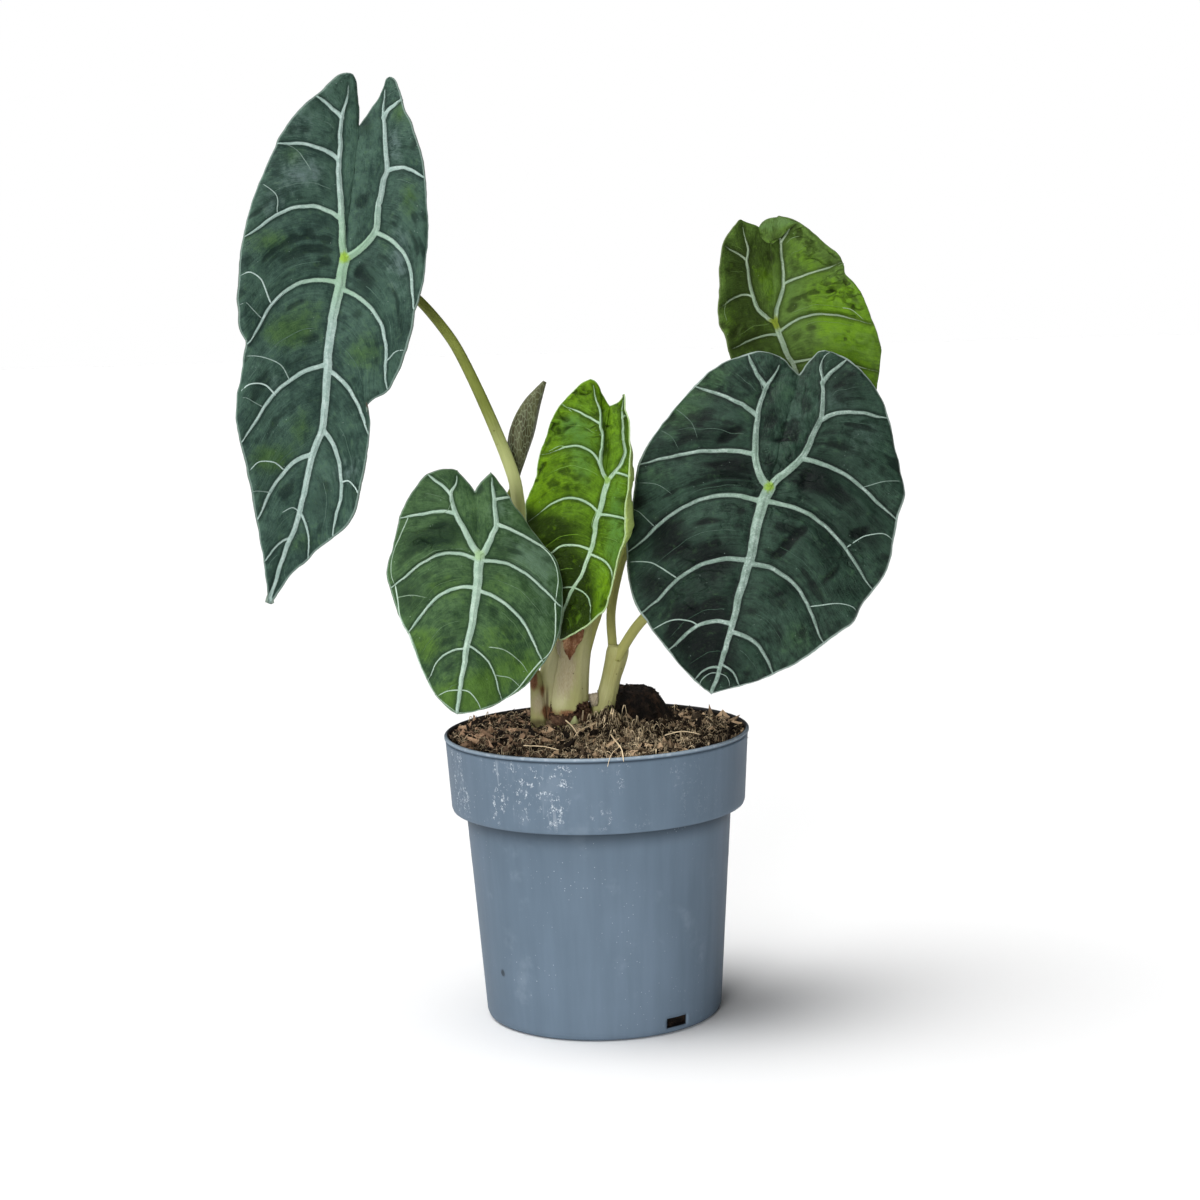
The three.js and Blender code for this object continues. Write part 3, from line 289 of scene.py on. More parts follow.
# Leaves. A blade is laid out from its heart, right and up as the eye sees it, with the same numbers as the solids.
width = {"midAtHeart": 4.4, "midAtTip": 1.3, "basalAtHeart": 3.6, "basalAtLobe": 1.3, "sideAtRib": 2.5,
         "sideAtEdge": 1.3}
# Per leaf, bright, dim, pale and wrinkled list soft spots (x, y, radius across, radius up, amount): dim is darker green
# together with painted shade, and pale is painted sheen.
leaves = {
    "tall": {
        "heart": (-100.3, 134), "back": -18,
        "lean": 0.27, "tipBend": 17, "lobeBend": 4, "turn": 0.08, "quilt": 1.5, "veins": (0.92, 0.82, 0.76),
        "valley": 3,
        "dents": [(5.8, -5.4, 7, 3, 50, 1.3), (-16, 50, 8, 3, 20, 0.6), (20, 8, 14, 2, 80, 0.5),
                  (-30, -52, 10, 3, 60, 0.5)],
        "wrinkled": [(6, -6, 7, 9, 0.6), (-16, 33, 9, 8, 0.5), (-24, -60, 12, 10, 0.35), (22, 30, 6, 14, 0.4)],
        "bright": [(-20, 40, 8, 6, 0.5), (-30, 6, 9, 6, 0.7), (-22, -29, 11, 7, 0.95), (-14, -20, 8, 6, 0.4),
                   (8, -37, 8, 8, 0.7), (26, 24, 4, 8, 0.7), (22, 56, 4, 7, 0.6), (-29, -79, 9, 6, 0.9),
                   (-17, -66, 5, 8, 0.6), (16, 8, 4, 9, 0.4), (-16, -112, 9, 6, 0.5)],
        "dim": [(9, -8, 5, 8, 0.9), (8, 52, 4, 5, 0.7), (-12, 62, 6, 6, 0.4), (-10, -55, 9, 8, 0.6),
                (-33, -62, 6, 7, 0.5), (24, -30, 5, 10, 0.6), (-10, -98, 8, 8, 0.5), (-4, -72, 6, 9, 0.4),
                (-14, 22, 8, 8, 0.3)],
        "pale": [(-16, 33, 10, 8, 0.8), (-28, 20, 8, 8, 0.5), (20, 44, 5, 12, 0.6), (22, 0, 6, 16, 0.7),
                 (-18, 52, 8, 8, 0.5), (-6, 62, 6, 8, 0.4), (2, -84, 8, 8, 0.6), (-26, -50, 8, 8, 0.4),
                 (10, -60, 6, 8, 0.4)],
        "midrib": [(0, 0), (-2, -13), (-4.5, -23.5), (-6, -36.5), (-8, -64.5), (-12, -76.5), (-18, -102),
                   (-23, -115.5), (-28, -131), (-29, -135.5)],
        "notch": (6, 52.5),
        "left": {
            "rise": 7, "wave": 2.8, "waves": 3,
            "rib": [(2.5, 72.6), (1.5, 64.5), (-1, 55), (-1.5, 45), (-2, 37.5), (-1.5, 28), (-1, 15), (0, 0)],
            "margin": [(2.5, 72.6), (0.5, 72.6), (-2, 71.8), (-5.4, 69), (-9.4, 64.8), (-18.5, 57.2), (-26.5, 44.5),
                       (-36.5, 21), (-41, -4.5), (-41, -26), (-38.5, -33), (-39.5, -39.5), (-42.5, -61),
                       (-38, -82.5), (-33.5, -106), (-30, -128.5), (-29, -135.5)],
            "inner": [(2.5, 72.6), (4, 71.8), (5.1, 69), (5.8, 64), (6.4, 58), (6, 52.5)],
            "ribVeins": [(-1, 55, -11.5, 65, 0.5), (-2, 38, -26, 44.5, 3), (-2, 15, -39, 8, 8)],
            "midVeins": [(-4, -10, -38.5, -34, 9.5), (-8, -41.5, -39.5, -72.5, 5.5), (-12.5, -77, -34, -103, 4.5),
                         (-21.5, -109.5, -31, -119, 1.2)],
        },
        "right": {
            "rise": 11, "wave": 3.2, "waves": 3,
            "rib": [(17.8, 71.2), (15.9, 66), (15.5, 55), (16, 45), (17, 35), (15.5, 30), (13.5, 20), (12, 10.5),
                    (5.5, 3), (0, 0)],
            "margin": [(17.8, 71.2), (19, 70.6), (20.2, 68.6), (21.6, 65), (23.9, 58), (26.4, 52), (31, 37),
                       (33, 11.5), (31.5, -6), (27.5, -21), (24, -37), (18, -51), (11.5, -55.5), (9, -59),
                       (10, -64.5), (7.5, -84), (2.5, -102.5), (-8, -112.5), (-20.5, -124), (-29, -135.5)],
            "inner": [(17.8, 71.2), (16.4, 70.3), (15, 67), (13.2, 63.2), (10.3, 57.6), (6, 52.5)],
            "ribVeins": [(16, 55, 22.5, 62.5, 0.5), (17, 34, 31, 31.5, 2.5), (12, 10, 27.5, -21, 7)],
            "midVeins": [(-2, -12, 17, -52, 9), (-6, -44, 10, -69, 3.4), (-8, -67, -4.5, -109, 5.5),
                         (-17, -100, -14, -118, 2)],
        },
    },
    "low": {
        "heart": (-47.4, 17.6), "back": -42,
        "lean": 0.42, "tipBend": 8, "lobeBend": 4, "turn": 0.12, "quilt": 1, "veins": (0.88, 0.74, 0.62),
        "valley": 1.5,
        "dents": [(-15.3, 11.8, 11, 3, 20, 1.1), (6.5, 7.3, 6, 2.2, 60, 0.9), (-19.6, 5.5, 9, 2.4, 5, 0.9),
                  (-14, -10.6, 12, 2, 15, 0.6), (8, -8, 9, 2, -35, 0.5), (-24, -20, 8, 2, 60, 0.5)],
        "wrinkled": [(-22, 8, 12, 8, 0.9), (8, 6, 8, 8, 0.6), (-20, -16, 9, 10, 0.4)],
        "bright": [(-8, -56, 14, 7, 1), (4, -50, 10, 8, 0.7), (-22, -36, 9, 8, 0.8), (8, -34, 12, 10, 0.5),
                   (-14, -12, 12, 7, 0.4), (18, -44, 8, 6, 0.6), (6, -12, 10, 6, 0.35)],
        "dim": [(-22, 6, 11, 5, 0.9), (-12, 10, 6, 6, 0.8), (-28, -16, 7, 8, 0.8), (9, 2, 9, 7, 0.6),
                (-2, 12, 4, 8, 0.5), (-12, -24, 8, 6, 0.4), (-10, -42, 5, 6, 0.5), (22, -30, 6, 9, 0.35)],
        "pale": [(20, 0, 12, 10, 0.9), (8, 18, 6, 9, 0.7), (26, -16, 6, 16, 0.6), (-16, 22, 9, 7, 0.4),
                 (12, -22, 8, 8, 0.3)],
        "midrib": [(0, 0), (-1, -13.5), (-3, -27), (-5, -38), (-7, -49.5), (-8.5, -62.5)],
        "notch": (-1.5, 25),
        "left": {
            "rise": -5, "wave": 1.4, "waves": 2,
            "rib": [(-8.5, 33.5), (-9, 28), (-11, 23.5), (-9.5, 17), (-6.5, 10.5), (0, 0)],
            "margin": [(-8.5, 33.5), (-14, 34), (-20.5, 31.5), (-26.5, 24.5), (-31, 15.5), (-33.5, 4.5),
                       (-36.5, -6.5), (-34, -15.5), (-31, -25), (-26.5, -34), (-21, -48.5), (-15.5, -57),
                       (-8.5, -62.5)],
            "inner": [(-8.5, 33.5), (-4.5, 29.5), (-1.5, 25)],
            "ribVeins": [(-11, 23.5, -20, 31.5, 0.5), (-9, 16, -31, 14, 1.6)],
            "midVeins": [(-0.2, -2.5, -35.5, -13.5, 7), (-1, -13, -28.5, -31, 5.6), (-5, -36.5, -20.5, -49.5, 3.6)],
        },
        "right": {
            "rise": -5, "wave": 1.4, "waves": 2,
            "rib": [(4.5, 32.5), (5.5, 25), (6, 20), (6.8, 12.5), (5, 8), (2.5, 2.2), (0, 0)],
            "margin": [(4.5, 32.5), (10, 26), (18.5, 13.5), (25.5, 4.5), (31, -2.5), (33, -13.5), (32.5, -24.5),
                       (29.5, -36), (24, -44.5), (18.5, -51.5), (8.5, -57.5), (0.5, -61), (-8.5, -62.5)],
            "inner": [(4.5, 32.5), (1, 28.5), (-1.5, 25)],
            "ribVeins": [(6, 21.5, 12.2, 23, 0.2), (6.8, 12, 27.5, 2, 0.6)],
            "midVeins": [(0, -2.5, 31.5, -21, 5.2), (-1, -14, 25.5, -42, 5.2), (-4.5, -35, 9.5, -57, 3)],
        },
    },
    "young": {
        "heart": (2.7, 47), "back": -20,
        "lean": 0.26, "tipBend": 7, "lobeBend": 5, "turn": -0.25, "quilt": 1.1, "veins": (0.5, 0.42, 0.42),
        "valley": 3, "stop": 0.84,
        "dents": [(-8, 33.5, 8, 1.6, -15, 0.8), (-13, 28, 8, 1.4, 30, 0.7), (-7, 19, 6, 1.3, -20, 0.6),
                  (-15, 20.4, 9, 1.5, 40, 0.7), (-23, 14, 8, 1.6, 60, 0.8), (-26, 4, 7, 1.5, 70, 0.7),
                  (-13.8, -30.7, 9, 2, -60, 1), (-9.9, -38.7, 9, 2, 50, 0.9), (0, -19, 5, 1.2, 0, 0.4),
                  (-22, -24, 8, 1.8, 20, 0.8), (0, 20, 7, 1.6, 75, 0.8), (-18, -44, 8, 2, 70, 0.8)],
        "wrinkled": [(-10, 35, 9, 5, 1), (-22, 24, 6, 9, 1), (-28, 8, 5, 10, 1), (-2, 22, 4, 8, 0.8),
                     (-22, -30, 10, 10, 0.6), (-12, -50, 8, 8, 0.7), (0, 8, 4, 8, 0.3), (-8, 20, 8, 7, 0.5)],
        "bright": [(-8, 36, 9, 5, 1), (-20, 26, 6, 7, 0.9), (-26, 12, 5, 8, 0.8), (-29, -4, 6, 9, 1),
                   (-20, 8, 10, 8, 0.6), (-16, -6, 9, 7, 0.55), (0, 30, 4, 6, 0.6), (2, 20, 3, 6, 0.4),
                   (-3, -50, 5, 8, 1), (1, -40, 3, 6, 0.7), (-8, -56, 7, 4, 0.9), (-20, -24, 9, 6, 0.4)],
        "dim": [(-17, -20, 11, 9, 0.75), (-20, -44, 11, 13, 1), (-14, -58, 9, 8, 1), (-9, -44, 5, 10, 0.9),
                (-16, -34, 8, 6, 0.7), (0, 12, 3, 9, 0.7), (-31, -14, 4, 6, 0.6), (-24, -18, 6, 5, 0.5)],
        "pale": [(-10, 16, 9, 9, 0.7), (4, -12, 5, 14, 0.8), (-9, 2, 5, 8, 0.6), (3, -30, 5, 10, 0.6),
                 (-14, 22, 6, 5, 0.5)],
        "midrib": [(0, 0), (-2.7, -12), (-4, -16), (-5.5, -24), (-9, -35), (-12.5, -41.5), (-15.5, -47), (-17, -52),
                   (-19, -62.5)],
        "notch": (1.5, 29),
        "left": {
            "rise": -4, "wave": 1.2, "waves": 3,
            "rib": [(-6.3, 39.5), (-4, 31.5), (-2.5, 27), (-2.6, 21), (-1.6, 17), (-2.5, 9), (-1.5, 3), (0, 0)],
            "margin": [(-6.3, 39.5), (-8.4, 39.1), (-10.6, 37.6), (-14, 34.2), (-19.5, 28), (-22.5, 21.5),
                       (-26.5, 10), (-27.5, 3), (-30.5, -5), (-32, -10), (-31.5, -17.5), (-30.5, -31), (-28, -45),
                       (-24, -56), (-19, -62.5)],
            "inner": [(-6.3, 39.5), (-4.6, 38.8), (-2.8, 36.6), (-0.2, 31.4), (1.5, 29)],
            "ribVeins": [(-2.6, 22, -17.5, 29.5, 0.4), (-2, 5, -26.5, 9.5, 6.5)],
            "midVeins": [(-3.5, -13, -31.5, -16.5, 7.5), (-6.5, -27.5, -29.5, -38, 6), (-12.5, -42, -25, -53.5, 3.5)],
        },
        "right": {
            "rise": 21, "wave": 0.8, "waves": 3, "swell": 5.6, "swellAt": (0.49, 0.22),
            "rib": [(6, 33.5), (6, 24.5), (6.5, 17), (7, 11), (4.5, 5), (0, 0)],
            "margin": [(6, 33.5), (6.5, 28), (8, 22.5), (8.5, 13), (8, 5), (8, -2.5), (6.5, -11), (6.5, -22),
                       (4.5, -28), (3, -34.5), (1.5, -41), (-1, -50), (-4, -53), (-8.5, -57), (-14, -60.5),
                       (-19, -62.5)],
            "inner": [(6, 33.5), (4.2, 30.6), (1.5, 29)],
            "ribVeins": [(6.2, 24, 7.4, 25.5, 0.1), (3.2, 3.4, 8, -1, 0.5)],
            "midVeins": [(-3.2, -13.6, 6.5, -20, 1.5), (-6.8, -29, 1.5, -41, 2), (-12.5, -42, -6.5, -55.5, 3)],
        },
    },
    "wide": {
        "heart": (66.2, 44.3), "back": -27,
        "lean": 0.34, "tipBend": 10, "lobeBend": 6, "turn": -0.1, "quilt": 1.7, "veins": (1.02, 0.86, 0.8),
        "valley": 2.5,
        "dents": [(-16.8, 19.2, 14, 3.2, 40, 1.7), (14.5, 3.5, 8, 3, 80, 1.6), (6.3, 18.4, 14, 1.8, 0, 0.9),
                  (9.4, -20, 15, 2.8, 40, 1.5), (3.5, -26, 10, 2.2, 30, 1.1), (34.5, -18, 10, 2.8, 30, 1.4),
                  (17, -13, 10, 2.4, -20, 1.1), (-18, 9, 16, 2.2, 4, 1.2), (-30, 12, 10, 2.4, 30, 0.9),
                  (-24, -14, 12, 2.4, 10, 1), (-34, -24, 10, 2.2, 25, 0.8), (-20, -44, 12, 2, 12, 0.8),
                  (-30, -48, 9, 2, 18, 0.8), (24, -34, 12, 2.4, 45, 0.9), (-26, -62, 9, 2, 30, 0.7),
                  (4, -42, 8, 2, 20, 0.7)],
        "wrinkled": [(0, 0, 30, 24, 0.8), (-30, -40, 22, 22, 0.6), (32, -28, 14, 14, 0.7), (30, 24, 14, 12, 0.3)],
        "bright": [(-37, 29, 10, 10, 0.8), (-28, 36, 8, 8, 0.5), (-20, 44, 8, 6, 0.5), (-8, 30, 6, 10, 0.3),
                   (-44, 4, 8, 6, 0.4), (10, -60, 10, 8, 0.5), (4, 36, 7, 8, 0.4), (-46, -50, 6, 8, 0.3),
                   (30, -36, 8, 8, 0.3)],
        "dim": [(-25, -52, 15, 13, 1), (33, 12, 10, 10, 0.4), (-14, 8, 14, 7, 0.8), (-26, 20, 12, 4, 0.7),
                (18, 2, 9, 11, 0.9), (30, 40, 10, 8, 0.6), (-22, -28, 12, 9, 0.9), (-40, -18, 9, 9, 0.9),
                (20, -22, 12, 8, 0.6), (34, -8, 10, 10, 0.5), (-22, -70, 12, 9, 0.9), (-34, -56, 10, 8, 0.7),
                (8, -40, 9, 7, 0.6), (40, -20, 8, 8, 0.5), (-46, -38, 8, 8, 0.7)],
        "pale": [(26, 34, 9, 9, 0.6), (38, 20, 9, 10, 0.6), (10, 26, 7, 9, 0.5), (30, 8, 9, 6, 0.4),
                 (-6, 46, 8, 5, 0.4), (0, -52, 9, 8, 0.3)],
        "midrib": [(0, 0), (-2.5, -6.5), (-5.5, -19), (-8, -30), (-12, -44), (-14.5, -55), (-17.5, -64.5),
                   (-22.5, -81.5)],
        "notch": (11.8, 44.2),
        "left": {
            "rise": -8, "wave": 2.4, "waves": 3,
            "rib": [(4.5, 51.5), (3, 45.5), (-1, 39), (-4.5, 28), (-5.5, 19), (-5.5, 10), (-2.5, 3), (0, 0)],
            "margin": [(4.5, 51.5), (-3.5, 53.5), (-13, 51), (-22.5, 46), (-30, 39), (-39.5, 28), (-47, 18),
                       (-51.5, 8), (-53.5, -5), (-56, -22), (-55.5, -33.5), (-53, -44.5), (-47, -55), (-39.5, -64.5),
                       (-31, -74.5), (-22.5, -81.5)],
            "inner": [(4.5, 51.5), (6.5, 50), (9, 46.8), (11.8, 44.2)],
            "ribVeins": [(-1, 39, -8.5, 52.3, -0.6), (-5, 28, -29.5, 39.5, 1.5), (-5.5, 12.5, -51, 8.5, 3.2)],
            "midVeins": [(-2.5, -6.5, -56, -26, 10), (-7.5, -29, -50.5, -50, 7), (-14, -54, -40, -64.5, 4.6),
                         (-19.5, -71, -29.5, -76, 2)],
        },
        "right": {
            "rise": -7, "wave": 2.6, "waves": 3,
            "rib": [(21.5, 53.5), (20.8, 46), (21, 41), (20.8, 30), (17.5, 21), (12.5, 11.5), (3, 3), (0, 0)],
            "margin": [(21.5, 53.5), (28, 52), (36.5, 45.5), (43, 37), (47, 27.5), (50, 14), (53.5, 0), (52.5, -6.5),
                       (50, -14.5), (48.5, -24), (46, -33.5), (41, -41), (36.5, -46.5), (32.5, -53.5), (21, -62),
                       (10, -69.5), (-1.5, -75), (-13, -79), (-22.5, -81.5)],
            "inner": [(21.5, 53.5), (18.4, 52.8), (15, 49), (11.8, 44.2)],
            "ribVeins": [(21, 41, 31, 50, 0.6), (20, 26, 47, 27, 2.8), (12.5, 11, 50.5, -13, 4)],
            "midVeins": [(-2, -6, 41.5, -41, 7.8), (-8, -30, 21.5, -61.5, 7.6), (-14.5, -57, 2, -73.5, 3.9),
                         (-18.5, -69.5, -11, -78.5, 1.6)],
        },
    },
    "back": {
        "heart": (68.5, 108.5), "back": 27,
        "lean": 0.2, "tipBend": 10, "lobeBend": -5, "turn": 0.16, "quilt": 1.3, "veins": (0.5, 0.46, 0.42),
        "valley": 7, "stop": 0.9,
        "dents": [(22.8, 23.9, 9, 1.8, 10, 0.9), (23.5, 13.5, 9, 1.8, 30, 0.9), (30.7, 9.8, 8, 1.8, -50, 0.8),
                  (13.8, 29.8, 7, 1.6, 80, 0.7), (8.3, -6.2, 7, 2.4, 45, 0.9), (34, 0, 8, 1.8, -70, 0.7),
                  (-8, 14, 10, 2.4, 75, 0.8), (-15, -2, 10, 2.4, 70, 0.7)],
        "wrinkled": [(22, 24, 8, 5, 1), (24, 13, 8, 5, 1), (31, 8, 5, 8, 1), (14, 30, 5, 6, 0.6), (5, 36, 8, 3, 1),
                     (-10, 4, 8, 10, 0.4)],
        "bright": [(30, -8, 13, 14, 1), (20, 10, 10, 10, 0.7), (32, -36, 12, 14, 1), (24, -22, 12, 8, 0.8),
                   (12, 26, 9, 8, 0.5), (-5, 20, 3, 7, 0.6), (-2, 12, 3, 6, 0.5), (32, 4, 8, 9, 0.9),
                   (-18, 2, 3, 10, 0.4)],
        "dim": [(-8, 2, 6, 9, 1), (-4, 26, 6, 10, 0.9), (-13, 24, 6, 14, 0.75), (-14, 0, 6, 14, 0.75),
                # The spot at (4, 38) is painted shadow under the folded flap.
                (-8, -10, 10, 7, 0.9), (-12, -28, 8, 14, 0.8), (12, -16, 7, 7, 0.5), (4, 38, 6, 2.5, 0.9),
                (24, 24, 6, 3, 0.5)],
        "pale": [(8, 16, 7, 11, 0.5), (14, 2, 7, 7, 0.4), (-9, 36, 5, 5, 0.3)],
        "midrib": [(0, 0), (2.5, -6.5), (5, -13), (7.5, -17), (11, -30), (13.5, -46), (14.5, -57.5), (14.5, -68)],
        "notch": (-1.5, 31.5),
        "left": {
            "rise": 20, "wave": 1.2, "waves": 2,
            "rib": [(-13, 40.5), (-12, 34), (-10.5, 28), (-11, 24), (-10.5, 20.5), (-9.5, 13.5), (-7.5, 7),
                    (-3.5, 2.5), (0, 0)],
            "margin": [(-13, 40.5), (-18.5, 33.5), (-20.5, 26), (-21.5, 13.5), (-21.5, 0.5), (-19.5, -4.5),
                       (-17, -12), (-13.5, -24.5), (-7, -40), (2, -56), (14.5, -68)],
            "inner": [(-13, 40.5), (-6.5, 37.5), (-1.5, 31.5)],
            "ribVeins": [(-11, 24.5, -19, 30, 0.3), (-8.7, 10, -21.3, 5.5, 2.4)],
            "midVeins": [(1.5, -5, -18, -11, 1.6), (7, -18, -9, -36, 4), (12, -36, -0.5, -52, 3),
                         (13.8, -49, 7.5, -61.5, 1.5)],
        },
        "right": {
            "rise": 9, "wave": 1.5, "waves": 3,
            "rib": [(0.5, 41.5), (1.5, 36), (2.5, 30.5), (3, 23), (3.5, 15), (2, 10), (0.5, 3), (0, 0)],
            "margin": [(0.5, 41.5), (5.5, 41), (10, 39), (15.5, 35), (21.2, 30), (24.4, 27.4), (27.2, 22.8),
                       (27.8, 19.2), (30.6, 16.4), (34, 11.4), (36.6, 5), (39, -1), (41, -6.5), (41.5, -13),
                       (40, -25.5), (36.5, -38), (29.5, -52), (21.5, -63.5), (14.5, -68)],
            "inner": [(0.5, 41.5), (-2.5, 37), (-1.5, 31.5)],
            "ribVeins": [(2.5, 31, 7.8, 40, 0.3), (3.6, 15, 26.3, 23.6, 0.8)],
            "midVeins": [(1.6, -4, 38, -0.5, 6), (6.5, -15.5, 41, -19, 2.6), (11, -31, 35.5, -41, 3.6),
                         (13.6, -47, 25.5, -58.5, 2)],
        },
    },
}

# Thin veins of each leaf as seen: points (across, down) in the 1200 x 1200 frame, where 2.553 is a millimetre,
# then the width and how clear the vein is.
thinLines = {
    "tall": [
        ([(267.5, 296), (260, 280), (249, 272.5), (239.5, 276)], 0.7, 0.9),
        ([(252.5, 310), (245, 303), (238.5, 305.5)], 0.4, 0.5),
        ([(289, 379), (280, 365), (262.5, 357.5), (244, 356)], 0.45, 0.6),
        ([(276, 396), (265, 385), (250, 384.5), (239.5, 394)], 0.7, 0.9),
        ([(254, 402.5), (245, 398), (239, 401)], 0.4, 0.4),
        ([(283, 469), (272.5, 462), (257.5, 462), (249, 471)], 0.6, 0.8),
        ([(271, 492.5), (255, 491), (250, 496)], 0.4, 0.5),
        ([(389, 359), (396, 352.5), (405, 350)], 0.5, 0.7),
        ([(341, 482.5), (349, 481), (356, 487.5), (357.5, 494)], 0.7, 0.9),
        ([(301, 514), (292.5, 507.5), (281, 512.5)], 0.5, 0.7), ([(277, 209), (276, 195.5), (262, 184)], 0.45, 0.6),
        ([(311, 172), (296, 150), (283, 143.5)], 0.3, 0.4), ([(396, 106), (401, 97), (399, 88)], 0.4, 0.5)],
    "low": [
        ([(407.6, 519), (401, 536), (393.5, 554), (391.5, 574), (395.6, 587)], 0.5, 0.6),
        ([(395.6, 587), (398, 600), (400.5, 618), (410, 636)], 0.6, 0.8),
        ([(410, 636), (416.5, 656), (427, 681)], 0.6, 0.8),
        ([(427, 681), (438, 697), (457, 713)], 0.5, 0.6),
        ([(500, 524), (520, 534), (537, 543.5), (550, 555), (556, 570), (557, 586), (555, 606)], 0.6, 0.8),
        ([(555, 606), (555, 622), (554.5, 638), (550, 652), (541, 661)], 0.6, 0.8),
        ([(541, 661), (528, 675), (517, 689), (503, 701)], 0.6, 0.8),
        ([(457, 713), (473, 712), (486, 707), (501, 702.5)], 0.5, 0.5),
        ([(462, 690), (469, 692), (476, 700), (481, 710)], 0.5, 0.7),
        ([(461, 690), (448, 691), (438, 696)], 0.5, 0.7),
        ([(488, 647), (504, 650), (520, 662), (528, 674)], 0.4, 0.5),
        ([(500, 676), (510, 678), (520, 687)], 0.4, 0.5), ([(397, 598), (412, 595.5), (428, 598)], 0.4, 0.4),
        ([(452, 500), (446, 512), (432, 513)], 0.3, 0.3)],
    "young": [
        ([(596, 512), (592, 524), (595, 536)], 0.3, 0.4),
        ([(572, 412), (562, 404), (556, 405)], 0.3, 0.4), ([(568, 448), (560, 446), (548, 452)], 0.3, 0.4)],
    "wide": [
        ([(671.5, 574.5), (660, 567), (650, 563), (628, 563)], 0.6, 0.8),
        ([(699, 687), (703, 679), (712, 673), (724, 675), (728.5, 681), (728, 687)], 0.4, 0.7),
        ([(819, 605.5), (836, 603.5), (850, 607), (855.6, 613)], 0.5, 0.8),
        ([(850, 545), (857, 540), (866, 535.5), (883, 534), (894, 541.5)], 0.5, 0.8),
        ([(868, 486), (885, 482), (904, 483)], 0.4, 0.5),
        ([(634.6, 483), (658, 485), (673, 495)], 0.3, 0.4), ([(646, 518), (640, 512), (632.7, 509)], 0.4, 0.6),
        ([(823, 382), (820, 368), (825, 356), (834, 352)], 0.5, 0.7),
        ([(700, 627), (690, 621), (672, 620), (648, 632)], 0.6, 0.8),
        ([(762, 388), (757, 372), (750, 361)], 0.3, 0.4), ([(824, 650), (832, 642), (840, 641)], 0.3, 0.4),
        ([(676, 410), (692, 424), (698, 440)], 0.3, 0.35), ([(660, 432), (672, 438), (679, 450)], 0.3, 0.3)],
    "back": [
        ([(727, 300), (724, 312), (726, 322)], 0.3, 0.4), ([(842, 308), (852, 310), (864, 320)], 0.35, 0.6),
        ([(860, 270), (850, 262), (838, 266)], 0.3, 0.3), ([(800, 236), (792, 238), (786, 244)], 0.3, 0.4)],
}


# The rows of one half, from the lobe's end past the heart to the tip: how far along its rib and margin, and its bow.
def rowsOf(leaf, half):
    rib, mid, margin = (curveOf(p) for p in (half["rib"], leaf["midrib"], half["margin"]))
    edgeStep = width["sideAtEdge"] / 2 / margin[1][-1]

    def pairs(veins, curve):
        step = width["sideAtRib"] / 2 / curve[1][-1]
        for x0, y0, x1, y1, bow in veins:
            start = np.clip(nearest(curve, (x0, y0)), 1.4 * step, 1 - 1.4 * step)
            end = nearest(margin, (x1, y1))
            yield [(start - step, end - edgeStep, bow, 0), (start + step, end + edgeStep, bow, 0)]

    def filled(rows, following):
        a, e, b, _ = rows[-1]
        rows.extend([((a + following[0]) / 2, (e + following[1]) / 2, (b + following[2]) / 2, 1), following])

    ribPairs, midPairs = list(pairs(half["ribVeins"], rib)), list(pairs(half["midVeins"], mid))
    above, below = ribPairs[-1][1], midPairs[0][0]
    toHeart = (1 - above[0]) * rib[1][-1]
    share = toHeart / (toHeart + below[0] * mid[1][-1])
    heartEdge, heartBow = (above[i] + (below[i] - above[i]) * share for i in (1, 2))
    ribRows = [(0, 0, 0, 0)]
    for first, second in ribPairs:
        filled(ribRows, first)
        ribRows.append(second)
    filled(ribRows, (1, heartEdge, heartBow, 0.7))
    midRows = [(0, heartEdge, heartBow, 0.7)]
    for first, second in midPairs:
        filled(midRows, first)
        midRows.append(second)
    filled(midRows, (1, 1, 0, 0))
    every = np.array(ribRows + midRows[1:])
    veins = [np.clip((p[0][1] + p[1][1]) / 2, 0, 1) for p in ribPairs + midPairs]
    return {"curves": (rib, mid, margin), "heart": len(ribRows) - 1, "last": len(every) - 1,
            "ribAlong": [r[0] for r in ribRows], "midAlong": [r[0] for r in midRows],
            "edge": every[:, 1], "bow": every[:, 2], "quilt": every[:, 3],
            "veinRows": [i + 0.5 for i in range(len(every) - 1) if every[i, 3] == 0 and every[i + 1, 3] == 0],
            "veinEdges": veins}


# Where row r of a half starts on its rib, where it ends on the margin, and how it bows between them.
def layOut(half, rows, r, twin=None):
    rib, mid, margin = rows["curves"]
    heart = rows["heart"]
    isRib = r <= heart
    alongRib = smoothly(rows["ribAlong"], np.minimum(r, heart))
    alongMid = smoothly(rows["midAlong"], np.maximum(r - heart, 0))
    if twin is not None:
        alongMid = (alongMid + smoothly(twin["midAlong"], np.maximum(r - heart, 0))) / 2
    start = np.where(isRib[:, None], at(rib, alongRib), at(mid, alongMid))
    edge = np.clip(smoothly(rows["edge"], r), 0, 1)
    reach = at(margin, edge) - start
    env = np.sin(np.pi * edge) ** 0.6
    size = np.maximum(np.linalg.norm(reach, axis=1), 1e-9)
    outward = half["outward"]
    turned = np.stack([-reach[:, 1], reach[:, 0]], -1) / size[:, None]
    sideways = turned * (outward * smoothly(rows["bow"], r))[:, None]
    centre, reachOf = half.get("swellAt", (0.5, 0.3))
    swell = outward * half.get("swell", 0) * np.exp(-((edge - centre) / reachOf) ** 2) * np.minimum(4 * env, 1)
    return {"swell": swell, "start": start, "reach": reach, "sideways": sideways, "edge": edge, "env": env,
            "quilt": smoothly(rows["quilt"], r)}


